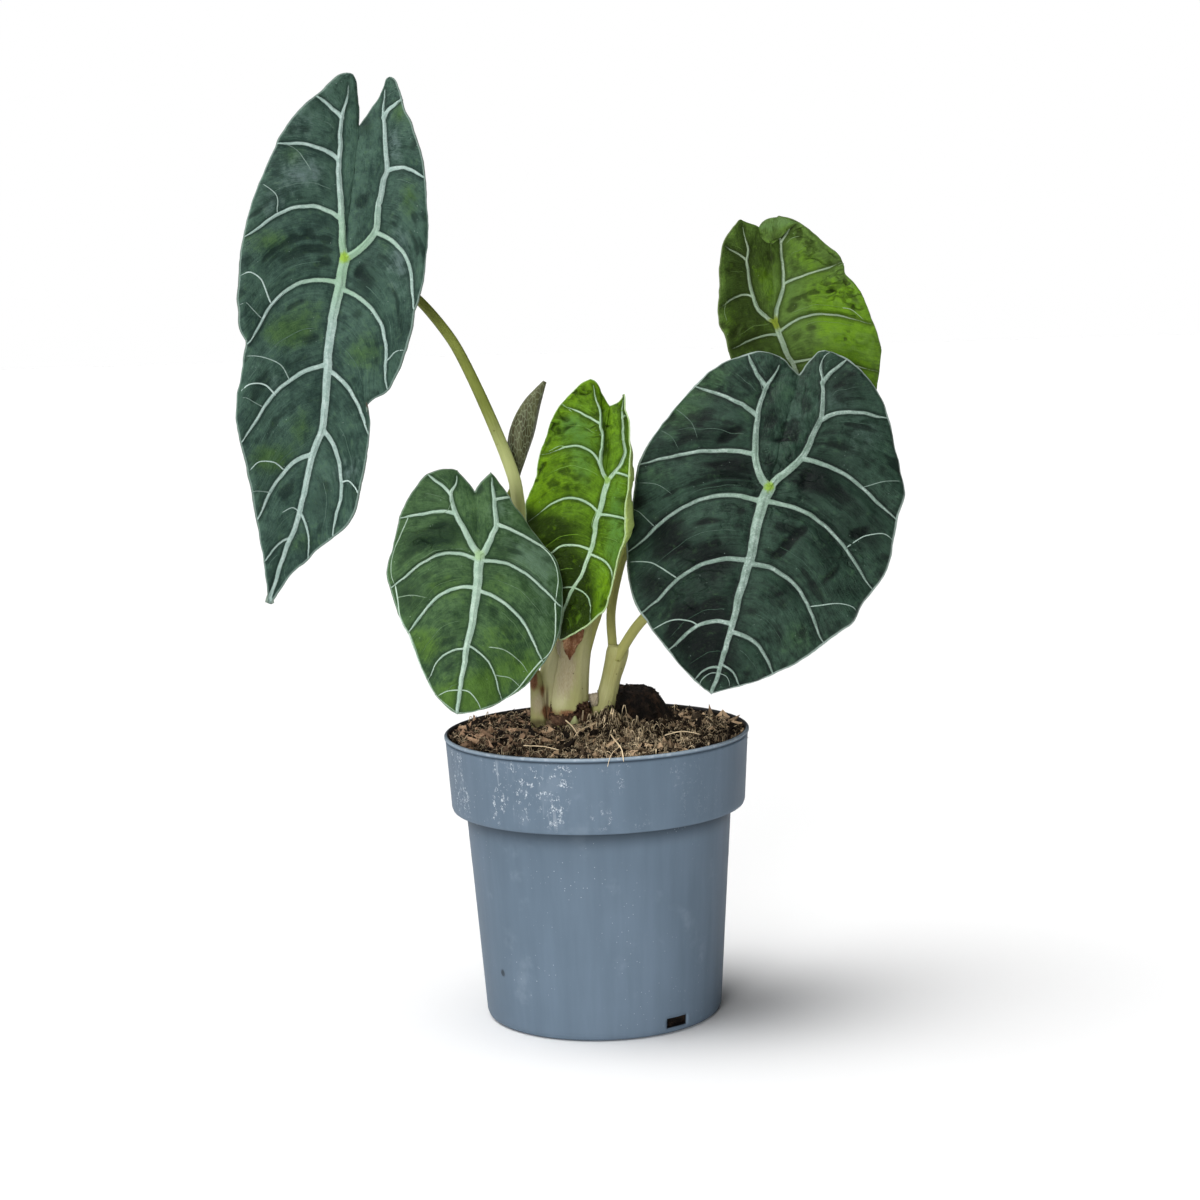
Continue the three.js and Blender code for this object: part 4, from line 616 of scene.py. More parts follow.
# Points at shares t of each row: the bow is an arch highest nearer the rib, t (1 - t)^1.7, and slightly kinked past it.
def across(lines, t, kink=0.64):
    tent = np.minimum(t / kink, (1 - t) / (1 - kink))
    bow = 0.82 * t * np.maximum(1 - t, 0) ** 1.7 / 0.1687 + 0.26 * (tent - 0.12 * np.exp(-((t - kink) / 0.1) ** 2))
    p = (lines["start"][:, None] + lines["reach"][:, None] * t[None, :, None]
         + lines["sideways"][:, None] * bow[None, :, None])
    p[..., 0] += lines["swell"][:, None] * (t ** 1.5 * (1 - t) / 0.186)[None, :]
    return unevenly(p)


# Moves points of the plane by up to half a millimetre, the same way wherever they are used.
def unevenly(p):
    x, y = p[..., 0], p[..., 1]
    return p + np.stack([0.34 * cloud(x, y, 5.3, 31) + 0.13 * cloud(x, y, 2.1, 33),
                         0.34 * cloud(x, y, 5.3, 32) + 0.13 * cloud(x, y, 2.1, 34)], -1)


# Rows spaced closely at the side veins and more widely between them, with count of them from r = low to r = high.
def spaced(tables, low, high, count, fine=0.3, coarse=1.2):
    r = np.linspace(low, high, 3000)
    step = np.full(len(r) - 1, 1e-6)
    near = np.zeros(len(r) - 1)
    for rows in tables:
        margin = rows["curves"][2][1][-1]
        edge = smoothly(rows["edge"], r) * margin
        step = np.maximum(step, np.abs(np.diff(edge)))
        heart = rows["heart"]
        for name, curve, local in (("ribAlong", 0, np.minimum(r, heart)), ("midAlong", 1, np.maximum(r - heart, 0))):
            step = np.maximum(step, np.abs(np.diff(smoothly(rows[name], local))) * rows["curves"][curve][1][-1])
        for v in rows["veinEdges"]:
            near = np.maximum(near, np.exp(-((edge[1:] - v * margin) / 1.6) ** 2))
    total = np.concatenate([[0], np.cumsum(step / (coarse + (fine - coarse) * near))])
    return np.interp(np.linspace(0, total[-1], count), total, r)


# The least distance from points to lines with a half width at each of their points: above 0 outside,
# farGap at most.
def gapTo(points, lines):
    best = np.full(len(points), farGap)
    half = np.ones(len(points))
    for line, wide in lines:
        near = np.flatnonzero(((points > line.min(0) - farGap) & (points < line.max(0) + farGap)).all(1))
        a, b = line[:-1], line[1:]
        ab = b - a
        t = np.clip(((points[near, None] - a) * ab).sum(-1) / np.maximum((ab * ab).sum(-1), 1e-12), 0, 1)
        reach = wide[:-1] + (wide[1:] - wide[:-1]) * t
        d = np.linalg.norm(points[near, None] - a - ab * t[..., None], axis=-1) - reach
        k = np.argmin(d, axis=1)
        row = np.arange(len(near))
        closer = d[row, k] < best[near]
        best[near] = np.where(closer, d[row, k], best[near])
        half[near] = np.where(closer, reach[row, k], half[near])
    return best, half


class Blade:
    def __init__(self, name):
        leaf = leaves[name]
        self.name, self.leaf = name, leaf
        leaf["left"]["outward"], leaf["right"]["outward"] = -1, 1
        self.sides = [leaf["left"], leaf["right"]]
        self.tables = [rowsOf(leaf, half) for half in self.sides]
        tip = np.array(leaf["midrib"][-1], float)
        self.length = np.linalg.norm(tip)
        self.axis = tip / self.length
        self.lobe = math.hypot(*leaf["left"]["rib"][0])
        self.ribs = self.ribLines()

    # Depth of the blade's middle sheet at p, before its edges rise and its fields swell.
    def baseBack(self, p):
        leaf = self.leaf
        along = p @ self.axis
        aside = p[..., 1] * self.axis[0] - p[..., 0] * self.axis[1]
        bend = np.where(along > 0, leaf["tipBend"] * (along / self.length) ** 2,
                        leaf["lobeBend"] * (along / self.lobe) ** 2)
        return leaf["back"] - leaf["lean"] * along + leaf["turn"] * aside + bend

    def put(self, p, forward):
        heart = self.leaf["heart"]
        return seen(heart[0] + p[..., 0], heart[1] + p[..., 1], self.baseBack(p) - forward)

    # The centre lines of the ribs and side veins in the blade's own plane, each with its half widths.
    def ribLines(self):
        lines = []
        s = np.linspace(0, 1, 60)
        faded = np.linspace(0.07, 1, 60)
        mid = curveOf(self.leaf["midrib"])
        middle, basal, side = self.leaf["veins"]
        lines.append((unevenly(at(mid, s)),
                      middle * (width["midAtHeart"] + (width["midAtTip"] - width["midAtHeart"]) * s) / 2))
        for half, rows in zip(self.sides, self.tables):
            grow = width["basalAtLobe"] + (width["basalAtHeart"] - width["basalAtLobe"]) * s
            lines.append((unevenly(at(rows["curves"][0], faded)), basal * grow / 2 * (0.35 + 0.65 * ramp(s, 0, 0.2))))
            t = np.linspace(0, 0.985, 26)
            out = across(layOut(half, rows, np.array(rows["veinRows"])), t)
            thin = side * (width["sideAtRib"] + (width["sideAtEdge"] - width["sideAtRib"]) * t ** 0.6)
            stop = self.leaf.get("stop", 1)
            for k, line in enumerate(out):
                last = 0.55 if k == len(out) - 1 else 1
                fading = np.maximum(1 - ramp(t, stop - 0.25, stop + 0.06), 0.02)
                short = 1 - 0.55 * ramp(t, 0.75, 1) if stop == 1 else fading
                lines.append((line, thin / 2 * last * short))
        return lines

    def grids(self, nRib, nMid, nOut, nIn):
        leaf = self.leaf
        heart, last = self.tables[0]["heart"], self.tables[0]["last"]
        r = np.concatenate([spaced(self.tables, 0, heart, nRib)[:-1], spaced(self.tables, heart, last, nMid)])
        s = np.linspace(0, 1, nOut)
        t = 0.55 * s + 0.45 * (1 - np.cos(np.pi * s)) / 2
        for k, (half, rows) in enumerate(zip(self.sides, self.tables)):
            lines = layOut(half, rows, r, self.tables[1 - k])
            p = across(lines, t)
            env, edge = lines["env"][:, None], lines["edge"][:, None]
            hump = 4 * t * (1 - t)
            forward = (half["rise"] * env * t ** 1.5
                       + half["wave"] * t ** 3 * np.sin(2 * np.pi * half["waves"] * edge) * env
                       + leaf["quilt"] * lines["quilt"][:, None] * hump * env)
            grain = np.stack(np.broadcast_arrays(edge * rows["curves"][2][1][-1] + half["outward"] * 400, t * 40), -1)
            yield p, forward, grain, k == 1
            head = r[:nRib]
            inner, share = curveOf(half["inner"]), round(heart * 0.55) / heart
            g = head / heart
            notch = np.array(leaf["notch"]) * np.clip((1 - g) / (1 - share), 0, 1)[:, None]
            end = unevenly(np.where((g <= share)[:, None], at(inner, np.minimum(g / share, 1)), notch))
            start = unevenly(lines["start"][:nRib])
            reach = end - start
            u = np.linspace(0, 1, nIn)
            p = start[:, None] + reach[:, None] * u[None, :, None]
            puff = leaf["quilt"] * 0.6 * 4 * u * (1 - u) * np.minimum(1, np.linalg.norm(reach, axis=1) / 8)[:, None]
            forward = puff - leaf["valley"] * np.sin(np.pi * u / 2) * np.sin(np.pi * g)[:, None]
            grain = np.stack([p[..., 0] * 0.5 - 900, p[..., 1] * 1.6], -1)
            yield p, forward, grain, k == 0

    # The sum of soft round spots of (x, y, radius across, radius up, amount) at each point, 0 to 1.
    def spots(self, key, x, y):
        total = 0 * x
        for x0, y0, rx, ry, amount in self.leaf.get(key, ()):
            total += amount * np.exp(-((x - x0) / rx) ** 2 - ((y - y0) / ry) ** 2)
        return np.minimum(total, 1)

    # How deep the dents are at each point: each is long and narrow, (x, y, length, width, angle, depth).
    def dentsAt(self, x, y):
        total = 0 * x
        for x0, y0, long, wide, angle, deep in self.leaf.get("dents", ()):
            c, s = math.cos(math.radians(angle)), math.sin(math.radians(angle))
            u, v = (x - x0) * c + (y - y0) * s, (y - y0) * c - (x - x0) * s
            v = v + 0.12 * u * u / long + 0.5 * cloud(x, y, 4, 41)
            total += deep * np.exp(-(2 * u / long) ** 2 - (1.6 * v / wide) ** 2)
        return total

    def build(self, material, slot, replaces, relief, nRib=128, nMid=168, nOut=49, nIn=16):
        plane, lift, grain, inward, faces, under, start = [], [], [], [], [], [], 0
        for p, forward, g, flip in self.grids(nRib, nMid, nOut, nIn):
            rows, columns = forward.shape
            plane.append(p.reshape(-1, 2))
            lift.append(forward.ravel())
            inward.append((forward[:, -1:] - forward).ravel())
            grain.append(g.reshape(-1, 2))
            faces.append(gridFaces(rows, columns, start, flip=flip))
            pick = np.unique(np.round(np.linspace(0, columns - 1, columns // 4 + 1)).astype(int))
            under.append(gridFaces(rows, columns, start, flip=not flip, pick=pick))
            start += rows * columns
        plane, lift, grain = np.concatenate(plane), np.concatenate(lift), np.concatenate(grain)
        points = self.put(plane, lift)
        first, number = weld(points)
        top, under = whole(number[np.concatenate(faces)]), whole(number[np.concatenate(under)])
        points, plane, lift, grain = points[first], plane[first], lift[first], grain[first]
        inward = np.concatenate(inward)[first]
        normals = normalsOf(points, top)
        gap, half = gapTo(plane, self.ribs)
        outline = [unevenly(curveOf(h[k])[0]) for h in self.sides for k in ("margin", "inner")]
        edgeGap, _ = gapTo(plane, [(line[::4], np.zeros(len(line[::4]))) for line in outline])
        edgeGap = np.hypot(edgeGap, inward)
        x, y = plane.T
        ridge = np.clip(1 - ((gap + half) / half) ** 2, 0, 1)
        away = np.maximum(gap, 0)
        field = 1 - np.exp(-(away / 3.2) ** 2)
        bright, dim, pale, wrinkled = (self.spots(k, x, y) for k in ("bright", "dim", "pale", "wrinkled"))
        dent = self.dentsAt(x, y) * field
        along, out = grain[:, 0], grain[:, 1]
        ripple = cloud(along, out * 0.27, 3.6, 21) * 0.7 + cloud(along, out * 0.33, 1.9, 22) * 0.3
        rough = cloud(x, y, 7, 3) * 0.6 + cloud(x, y, 3.4, 5) * 0.4
        crumple = 1 - 2 * np.abs(cloud(x, y, 3.1, 8) * 0.7 + cloud(x, y, 1.7, 9) * 0.3) ** 0.7
        pucker = 1 + relief["pucker"] * np.exp(-((x * x + y * y) / 480))
        creases = relief["crumple"] * crumple * np.maximum(bright * 0.7, wrinkled)
        fold = (rough * relief["crinkle"] + ripple * relief["ripple"]) * pucker + creases
        swollen = relief["ridge"] * ridge * half ** 0.6 + relief["groove"] * field + fold * field - dent
        height = swollen * ramp(edgeGap, -0.2, 2.5)
        rolled = relief["rim"] * (1 - ramp(edgeGap, 0, 1.2))
        upper = points + normals * ((height - rolled) * mm)[:, None]
        keel = 0.75 + 1.1 * ridge * half ** 0.5 - 0.25 * (1 - ramp(edgeGap, 0, 1.5)) + dent
        lower = points + normals * ((height * 0.8 - rolled - keel) * mm)[:, None]
        edges = np.concatenate([top[:, [0, 1]], top[:, [1, 2]], top[:, [2, 0]]])
        key = edges[:, 0] * len(points) + edges[:, 1]
        back = edges[:, 1] * len(points) + edges[:, 0]
        a, b = edges[~np.isin(key, back)].T
        used = np.unique(np.concatenate([under.ravel(), a, b]))
        low = np.full(len(points), -1)
        low[used] = np.arange(len(used)) + len(points)
        under = low[under]
        rim = np.concatenate([np.stack([b, a, low[a]], -1), np.stack([b, low[a], low[b]], -1)])
        both = lambda v: np.concatenate([v, v[used]])
        values = {"veinGap": both(gap), "edgeGap": both(edgeGap), "heartGap": both(np.hypot(x, y)),
                  "under": np.concatenate([np.zeros(len(points)), np.ones(len(used))]),
                  "bright": both(bright), "dim": both(dim), "pale": both(pale),
                  "fold": both(fold * field), "dent": both(dent), "wrinkled": both(wrinkled)}
        self.plane, self.upper, self.normals = plane, upper, normals
        print(self.name, "blade", len(top) + len(under) + len(rim), "triangles")
        return piece(f"leaf_{self.name}", np.concatenate([upper, lower[used]]), np.concatenate([top, under, rim]),
                     material,
                     slot, replaces, values, both(grain))

    # Which points of the plane lie on the blade: no further than 0.7 mm from a mesh point.
    def covers(self, points):
        near = self.plane[((self.plane > points.min(0) - 1) & (self.plane < points.max(0) + 1)).all(1)]
        if len(near) == 0:
            return np.zeros(len(points), bool)
        return ((points[:, None] - near[None]) ** 2).sum(-1).min(1) < 0.5

    # Places and normals of the upper skin at points of the plane, by a linear fit to the nine nearest mesh points.
    def onSkin(self, points):
        out = []
        for part in np.array_split(points, max(1, len(points) // 200)):
            inside = np.flatnonzero(((self.plane > part.min(0) - 3) & (self.plane < part.max(0) + 3)).all(1))
            d = ((part[:, None] - self.plane[None, inside]) ** 2).sum(-1)
            near = np.argpartition(d, 9, axis=1)[:, :9]
            close = np.take_along_axis(d, near, 1)
            near = inside[near]
            away = self.plane[near] - part[:, None]
            weight = np.exp((close.min(1, keepdims=True) - close) / 1.5) + 1e-6
            basis = np.concatenate([np.ones(away.shape[:2] + (1,)), away], -1)
            normal = np.einsum("nki,nk,nkj->nij", basis, weight, basis) + np.eye(3) * 1e-4
            known = np.concatenate([self.upper[near], self.normals[near]], -1)
            right = np.einsum("nki,nk,nkj->nij", basis, weight, known)
            out.append(np.clip(np.linalg.solve(normal, right)[:, 0], known.min(1), known.max(1)))
        out = np.concatenate(out)
        return out[:, :3], out[:, 3:] / np.linalg.norm(out[:, 3:], axis=1, keepdims=True)

    # A traced line with its start moved back along its own way, at most 7 mm, until it lies inside a thicker vein.
    def rooted(self, line):
        back = line[0] - line[1]
        tries = line[0] + back / np.linalg.norm(back) * np.linspace(0, 7, 71)[:, None]
        gap, _ = gapTo(tries, self.ribs)
        inside = np.flatnonzero(gap < -0.15)
        return line if len(inside) == 0 or inside[0] == 0 else np.vstack([tries[inside[0]], line])

    # Thin veins: low round ribs on the upper skin along lines of the plane, each with its width and how clear it is.
    def thinVeins(self, lines, material, slot):
        shapes = []
        angle = np.linspace(0, np.pi, 5)
        for line, wide, clear in lines:
            dense = curveOf(line, 240)[0]
            dense = dense[self.covers(dense)]
            if len(dense) < 20:
                continue
            curve = curveOf(dense[::6])
            s = np.linspace(0, 1, max(8, int(curve[1][-1] / 0.6)))
            p = at(curve, s)
            run = unit(np.gradient(p, axis=0))
            side = np.stack([-run[:, 1], run[:, 0]], -1)
            half = wide / 2 * (1 - 0.5 * s ** 1.5) * np.minimum(1, (1 - s) * 12) * np.minimum(1, 0.4 + s * 12)
            flat = np.concatenate([p[:, None] + side[:, None] * (half[:, None] * np.cos(angle))[..., None],
                                   p[:, None]], 1)
            lift = np.concatenate([half[:, None] * np.sin(angle) * 0.5 + 0.05,
                                   -0.12 * np.minimum(1, half[:, None] * 9)], 1)
            place, normal = self.onSkin(flat.reshape(-1, 2))
            points = place + normal * lift.reshape(-1, 1) * mm
            ring = points.reshape(len(s), 6, 3)
            ring[0], ring[-1] = ring[0].mean(0), ring[-1].mean(0)
            points = ring.reshape(-1, 3)
            first, number = weld(points)
            faces = whole(number[gridFaces(len(s), 6, loop=True)])
            shapes.append((points[first], faces, {"clear": np.full(len(first), clear)}))
        points, faces, values = together(shapes)
        print(self.name, "thin veins", len(faces), "triangles")
        return piece(f"veinlets_{self.name}", points, faces, material, slot, (), values)

    # Fainter veins between the side veins: count lines a field, that leave the rib and fade before the margin.
    def between(self, count, wide, clear, seed):
        random = np.random.default_rng(seed)
        lines = []
        for k, (half, rows) in enumerate(zip(self.sides, self.tables)):
            stops = [0.2] + rows["veinRows"] + [rows["last"] - 0.3]
            for low, high in zip(stops[:-1], stops[1:]):
                if high - low < 1.5:
                    continue
                for i in range(count):
                    r = low + (high - low) * (i + 0.5 + random.uniform(-0.25, 0.25)) / count
                    t = np.linspace(random.uniform(0.05, 0.3), random.uniform(0.7, 0.93), 14)
                    line = across(layOut(half, rows, np.array([r])), t)[0]
                    line = line + 0.35 * np.stack([cloud(t * 9, t * 0 + r, 1, seed + k),
                                                   cloud(t * 9, t * 0 + r, 1, seed + 7)], -1)
                    lines.append((line, wide * random.uniform(0.7, 1), clear * random.uniform(0.5, 1)))
        return lines


# Leaf skin: pale ribs and margin over a mottled green with fine grain that runs out along the side veins, with painted
# sheen in the pale patches, painted shade in the dim patches (which are also darker green), the fold valleys, the
# dents, the wrinkles and beside the veins, and painted light on the fold crests
def leafPaint(name, look):
    paint = Paint(name, Specular_IOR_Level=look["gloss"])
    gap, edge, heart, under = (paint.attribute(k) for k in ("veinGap", "edgeGap", "heartGap", "under"))
    shades = ("bright", "dim", "pale", "fold", "dent", "wrinkled")
    bright, dim, pale, fold, dent, wrinkled = (paint.attribute(k) for k in shades)
    grain, place = paint.map(), paint.place()
    flow = paint.noise(paint.scaled(grain, (1.5, 0.16, 1)), 0.9, 4, 0.65)
    lines = paint.noise(paint.scaled(grain, (4.2, 0.3, 1)), 1.0, 2)
    blotch = paint.noise(place, 95, 5, 0.62)
    mottle = paint.noise(place, 330, 4, 0.6)
    fine = paint.noise(place, 1300, 3, 0.65)
    wide = paint.noise(place, 30, 2)
    tone = (flow * 0.42 + blotch * 0.5 + wide * 0.3 + mottle * 0.46 + fine * 0.2 - 0.42).step(0.32, 0.7)
    body = paint.mix(tone, look["dark"], look["light"])
    brightHere = (bright * 1.15 + (blotch - 0.5) * 0.9 + (mottle - 0.5) * 0.8 + (flow - 0.5) * 0.4).step(0.2, 1.0)
    body = paint.mix(brightHere, body, paint.mix(tone, look["bright"][0], look["bright"][1]))
    # Painted sheen: bluish-grey pale patches where the leaf reflects the light.
    sheenHere = (pale * 0.95 + (flow - 0.5) * 0.7 + (mottle - 0.5) * 1.3 + (lines - 0.5) * 0.5).step(0.25, 1.1)
    body = paint.mix(sheenHere, body, look["pale"])
    dimHere = (dim * 1.05 + (wide - 0.5) * 0.8 + (blotch - 0.5) * 0.5 + (mottle - 0.5) * 0.3).step(0.2, 1.0)
    body = paint.mix(dimHere * look["shade"], body, look["dim"])
    # Painted shade in the valleys of the fold relief, and painted light on its crests.
    body = paint.mix(fold.step(-0.05, -0.55 * look["foldSize"]) * 0.7, body, look["dim"])
    body = paint.mix(fold.step(0.15, 0.75 * look["foldSize"]) * 0.35, body, look["light"])
    body = paint.mix((dent + (mottle - 0.5) * 0.4).step(0.12, 0.75) * look["dentShade"], body, look["dim"])
    threads = (lines.step(0.57, 0.68) * look["net"] + (mottle.step(0.58, 0.72) * 0.25))
    body = paint.mix(threads, body, look["bright"][1])
    # Wrinkles: thin dark lines painted as the shade in creases, with a matching bump.
    away = (paint.noise(paint.scaled(place, (0.7, 1, 1.25)), 165, 2, 0.4) - 0.5).math("ABSOLUTE")
    wrinkle = (away.step(0.05, 0.0) * (fine * 0.5 + mottle * 0.8).step(0.45, 0.75)
               * (wrinkled + (wide - 0.5) * 0.6).step(0.25, 0.8) * gap.step(0.2, 1.2))
    body = paint.mix(wrinkle * look["wrinkle"], body, look["dim"])
    # Painted shade: a dark line each side of the veins, in the groove beside them.
    body = paint.mix(gap.step(1.7, 0.1) * 0.6, body, look["dim"])
    fuzz = gap + (fine - 0.5) * 0.5 + (mottle - 0.5) * 0.5
    vein = paint.mix((fine * 0.5 + mottle * 0.7 - 0.1).step(0.35, 0.7), look["vein"][0], look["vein"][1])
    vein = paint.mix((fine * 0.7 + mottle * 0.4).step(0.6, 0.75) * 0.45, vein, look["fleck"])
    vein = paint.mix(heart.step(34, 3) * look["ribShare"], vein, look["rib"])
    spot = (heart + (fine - 0.5) * 2 + (mottle - 0.5) * 2).step(look["spotSize"], look["spotSize"] * 0.35)
    vein = paint.mix(spot * look["spotShare"], vein, look["spot"])
    body = paint.mix(fuzz.step(0.16, -0.2), body, vein)
    rimEdge = edge + (fine - 0.5) * 0.3
    rim = rimEdge.step(look["rimWidth"], look["rimWidth"] * 0.45)
    body = paint.mix(rim * look["rimShare"], body, look["rim"])
    body = paint.mix(edge.step(0.3, 0.05) * look["lip"][0], body, look["lip"][1])
    specks = paint.cells(place, 420).step(0.085, 0.035) * blotch.step(0.48, 0.6)
    body = paint.mix(specks * 0.5, body, look["vein"][1])
    below = paint.mix((flow * 0.6 + blotch * 0.4).step(0.3, 0.7), look["below"][0], look["below"][1])
    below = paint.mix(gap.step(0.3, -0.2) * look["belowShare"], below, look["belowVein"])
    below = paint.mix(edge.step(look["rimWidth"], look["rimWidth"] * 0.4) * look["rimShare"], below, look["rim"])
    color = paint.mix(under, body, below)
    pores = paint.cells(place, 1300).step(0.0, 0.5)
    height = flow * 0.9 + lines * 0.35 + fine * 0.3 + pores * 0.2 + blotch * 0.9 + mottle * 0.6 - wrinkle * 1.6
    roughness = look["roughness"] + (blotch * 0.22 - 0.11) + fuzz.step(0.3, -0.1) * 0.1
    return paint.finish(color, roughness, height, look["bump"])


# In each look, pale is the colour of painted sheen, and dim is a darker green that also serves as painted shade.
looks = {
    "tall": {"dark": (0.017, 0.037, 0.031), "light": (0.058, 0.112, 0.083),
             "bright": ((0.025, 0.06, 0.022), (0.06, 0.122, 0.044)),
             "pale": (0.125, 0.18, 0.178), "dim": (0.006, 0.015, 0.013),
             "vein": ((0.27, 0.38, 0.34), (0.46, 0.58, 0.54)),
             "spot": (0.28, 0.45, 0.06), "spotSize": 3.1, "rim": (0.22, 0.31, 0.27), "rimWidth": 0.7, "rimShare": 0.7,
             "lip": (0.5, (0.12, 0.13, 0.11)), "below": ((0.09, 0.05, 0.055), (0.13, 0.12, 0.08)), "shade": 0.8,
             "net": 0.22,
             "wrinkle": 0.0, "rib": (0.24, 0.41, 0.24), "ribShare": 0.7},
    "low": {"dark": (0.022, 0.052, 0.022), "light": (0.072, 0.142, 0.056),
            "bright": ((0.045, 0.1, 0.018), (0.08, 0.165, 0.03)),
            "pale": (0.1, 0.17, 0.11), "dim": (0.01, 0.026, 0.013), "vein": ((0.3, 0.43, 0.34), (0.48, 0.62, 0.51)),
            "spot": (0.28, 0.44, 0.17), "spotSize": 3.2, "spotShare": 0.6, "rim": (0.24, 0.36, 0.26), "rimWidth": 0.9,
            "rimShare": 0.65, "lip": (0.75, (0.12, 0.1, 0.075)), "below": ((0.11, 0.07, 0.055), (0.15, 0.14, 0.08)),
            "shade": 0.8,
            "net": 0.26, "wrinkle": 0.0},
    "young": {"dark": (0.03, 0.068, 0.003), "light": (0.118, 0.245, 0.012),
              "bright": ((0.05, 0.115, 0.003), (0.132, 0.26, 0.007)),
              "pale": (0.08, 0.19, 0.035), "dim": (0.01, 0.022, 0.001),
              "vein": ((0.28, 0.43, 0.26), (0.46, 0.62, 0.44)),
              "spot": (0.22, 0.38, 0.06), "spotSize": 2.2, "spotShare": 0.8, "rim": (0.4, 0.54, 0.28),
              "rimWidth": 0.42,
              "lip": (0.3, (0.36, 0.46, 0.2)), "below": ((0.32, 0.44, 0.1), (0.44, 0.56, 0.18)),
              "belowVein": (0.34, 0.46, 0.12),
              "belowShare": 0.2, "gloss": 0.06, "roughness": 0.4, "wrinkle": 0.7, "bump": 0.55},
    "wide": {"dark": (0.005, 0.0125, 0.009), "light": (0.032, 0.066, 0.045),
             "bright": ((0.02, 0.05, 0.022), (0.048, 0.105, 0.046)),
             "pale": (0.055, 0.09, 0.077), "dim": (0.0018, 0.0042, 0.004),
             "vein": ((0.15, 0.22, 0.18), (0.33, 0.43, 0.38)),
             "spot": (0.22, 0.36, 0.05), "spotSize": 2.9, "rim": (0.3, 0.38, 0.34), "rimWidth": 1.05, "rimShare": 0.9,
             "lip": (0.25, (0.1, 0.11, 0.1)), "below": ((0.08, 0.045, 0.055), (0.12, 0.09, 0.08)),
             "belowVein": (0.2, 0.22, 0.15),
             "gloss": 0.1, "roughness": 0.42, "net": 0.16, "wrinkle": 0, "bump": 0.5},
    "back": {"dark": (0.042, 0.075, 0.014), "light": (0.1, 0.18, 0.034),
             "bright": ((0.065, 0.14, 0.008), (0.125, 0.25, 0.012)),
             "pale": (0.085, 0.16, 0.05), "dim": (0.017, 0.025, 0.006),
             "vein": ((0.22, 0.3, 0.19), (0.39, 0.48, 0.34)),
             "spot": (0.19, 0.25, 0.016), "spotSize": 4.2, "spotShare": 0.95, "rim": (0.12, 0.17, 0.06),
             "rimWidth": 0.4,
             "rimShare": 0.4, "lip": (0.3, (0.1, 0.12, 0.06)), "below": ((0.11, 0.17, 0.045), (0.16, 0.22, 0.075)),
             "belowVein": (0.24, 0.3, 0.15), "gloss": 0.07, "roughness": 0.42, "wrinkle": 0.4, "bump": 0.5,
             "shade": 0.62, "dentShade": 0.55},
}
shared = {"spotShare": 1.0, "rimShare": 0.95, "belowVein": (0.23, 0.26, 0.155), "belowShare": 1.0, "gloss": 0.08,
          "roughness": 0.46, "shade": 0.95, "net": 0.2, "foldSize": 0.6, "bump": 0.42, "dentShade": 0.9,
          "fleck": (0.55, 0.63, 0.6), "rib": (0.28, 0.42, 0.3), "ribShare": 0.3}
looks = {name: {**shared, **look} for name, look in looks.items()}
slots = {"tall": "leaf_deep_green", "wide": "leaf_deep_green", "low": "leaf_mid_green", "young": "leaf_bright_green",
         "back": "leaf_fresh_green"}
reliefs = {
    "tall": {"ridge": 0.6, "groove": 0.9, "crinkle": 0.45, "ripple": 0.4, "pucker": 0.5, "crumple": 0.25,
             "rim": 0.35},
    "low": {"ridge": 0.55, "groove": 0.6, "crinkle": 0.35, "ripple": 0.35, "pucker": 0.4, "crumple": 0.15,
            "rim": 0.3},
    "young": {"ridge": 0.45, "groove": 0.6, "crinkle": 0.4, "ripple": 0.3, "pucker": 0.2, "crumple": 1, "rim": 0.3},
    "wide": {"ridge": 0.6, "groove": 1.1, "crinkle": 0.5, "ripple": 0.6, "pucker": 1.3, "crumple": 0.2, "rim": 0.35},
    "back": {"ridge": 0.45, "groove": 0.6, "crinkle": 0.4, "ripple": 0.4, "pucker": 0.2, "crumple": 0.8, "rim": 0.3},
}


def threadPaint(name, look):
    paint = Paint(name, Specular_IOR_Level=0.1)
    fine = paint.noise(paint.place(), 900, 2)
    clear = (paint.attribute("clear") + (fine - 0.5) * 0.5).step(0.05, 1.05)
    return paint.finish(paint.mix(clear, look["light"], look["vein"][1]), 0.5 + fine * 0.1, fine, 0.08)


blades = {}
for name, leaf in leaves.items():
    look = looks[name]
    blade = blades[name] = Blade(name)
    blade.build(leafPaint(f"leaf_{name}", look), slots[name], (f"blade_{name}", f"veins_{name}"), reliefs[name])
    traced = [(fromFrame(line) - leaf["heart"], wide, clear) for line, wide, clear in thinLines[name]]
    traced = [(blade.rooted(line), wide, clear) for line, wide, clear in traced]
    blade.thinVeins(traced + blade.between(1, 0.26, 0.25, 5), threadPaint(f"veinlet_{name}", look), "vein_pale")


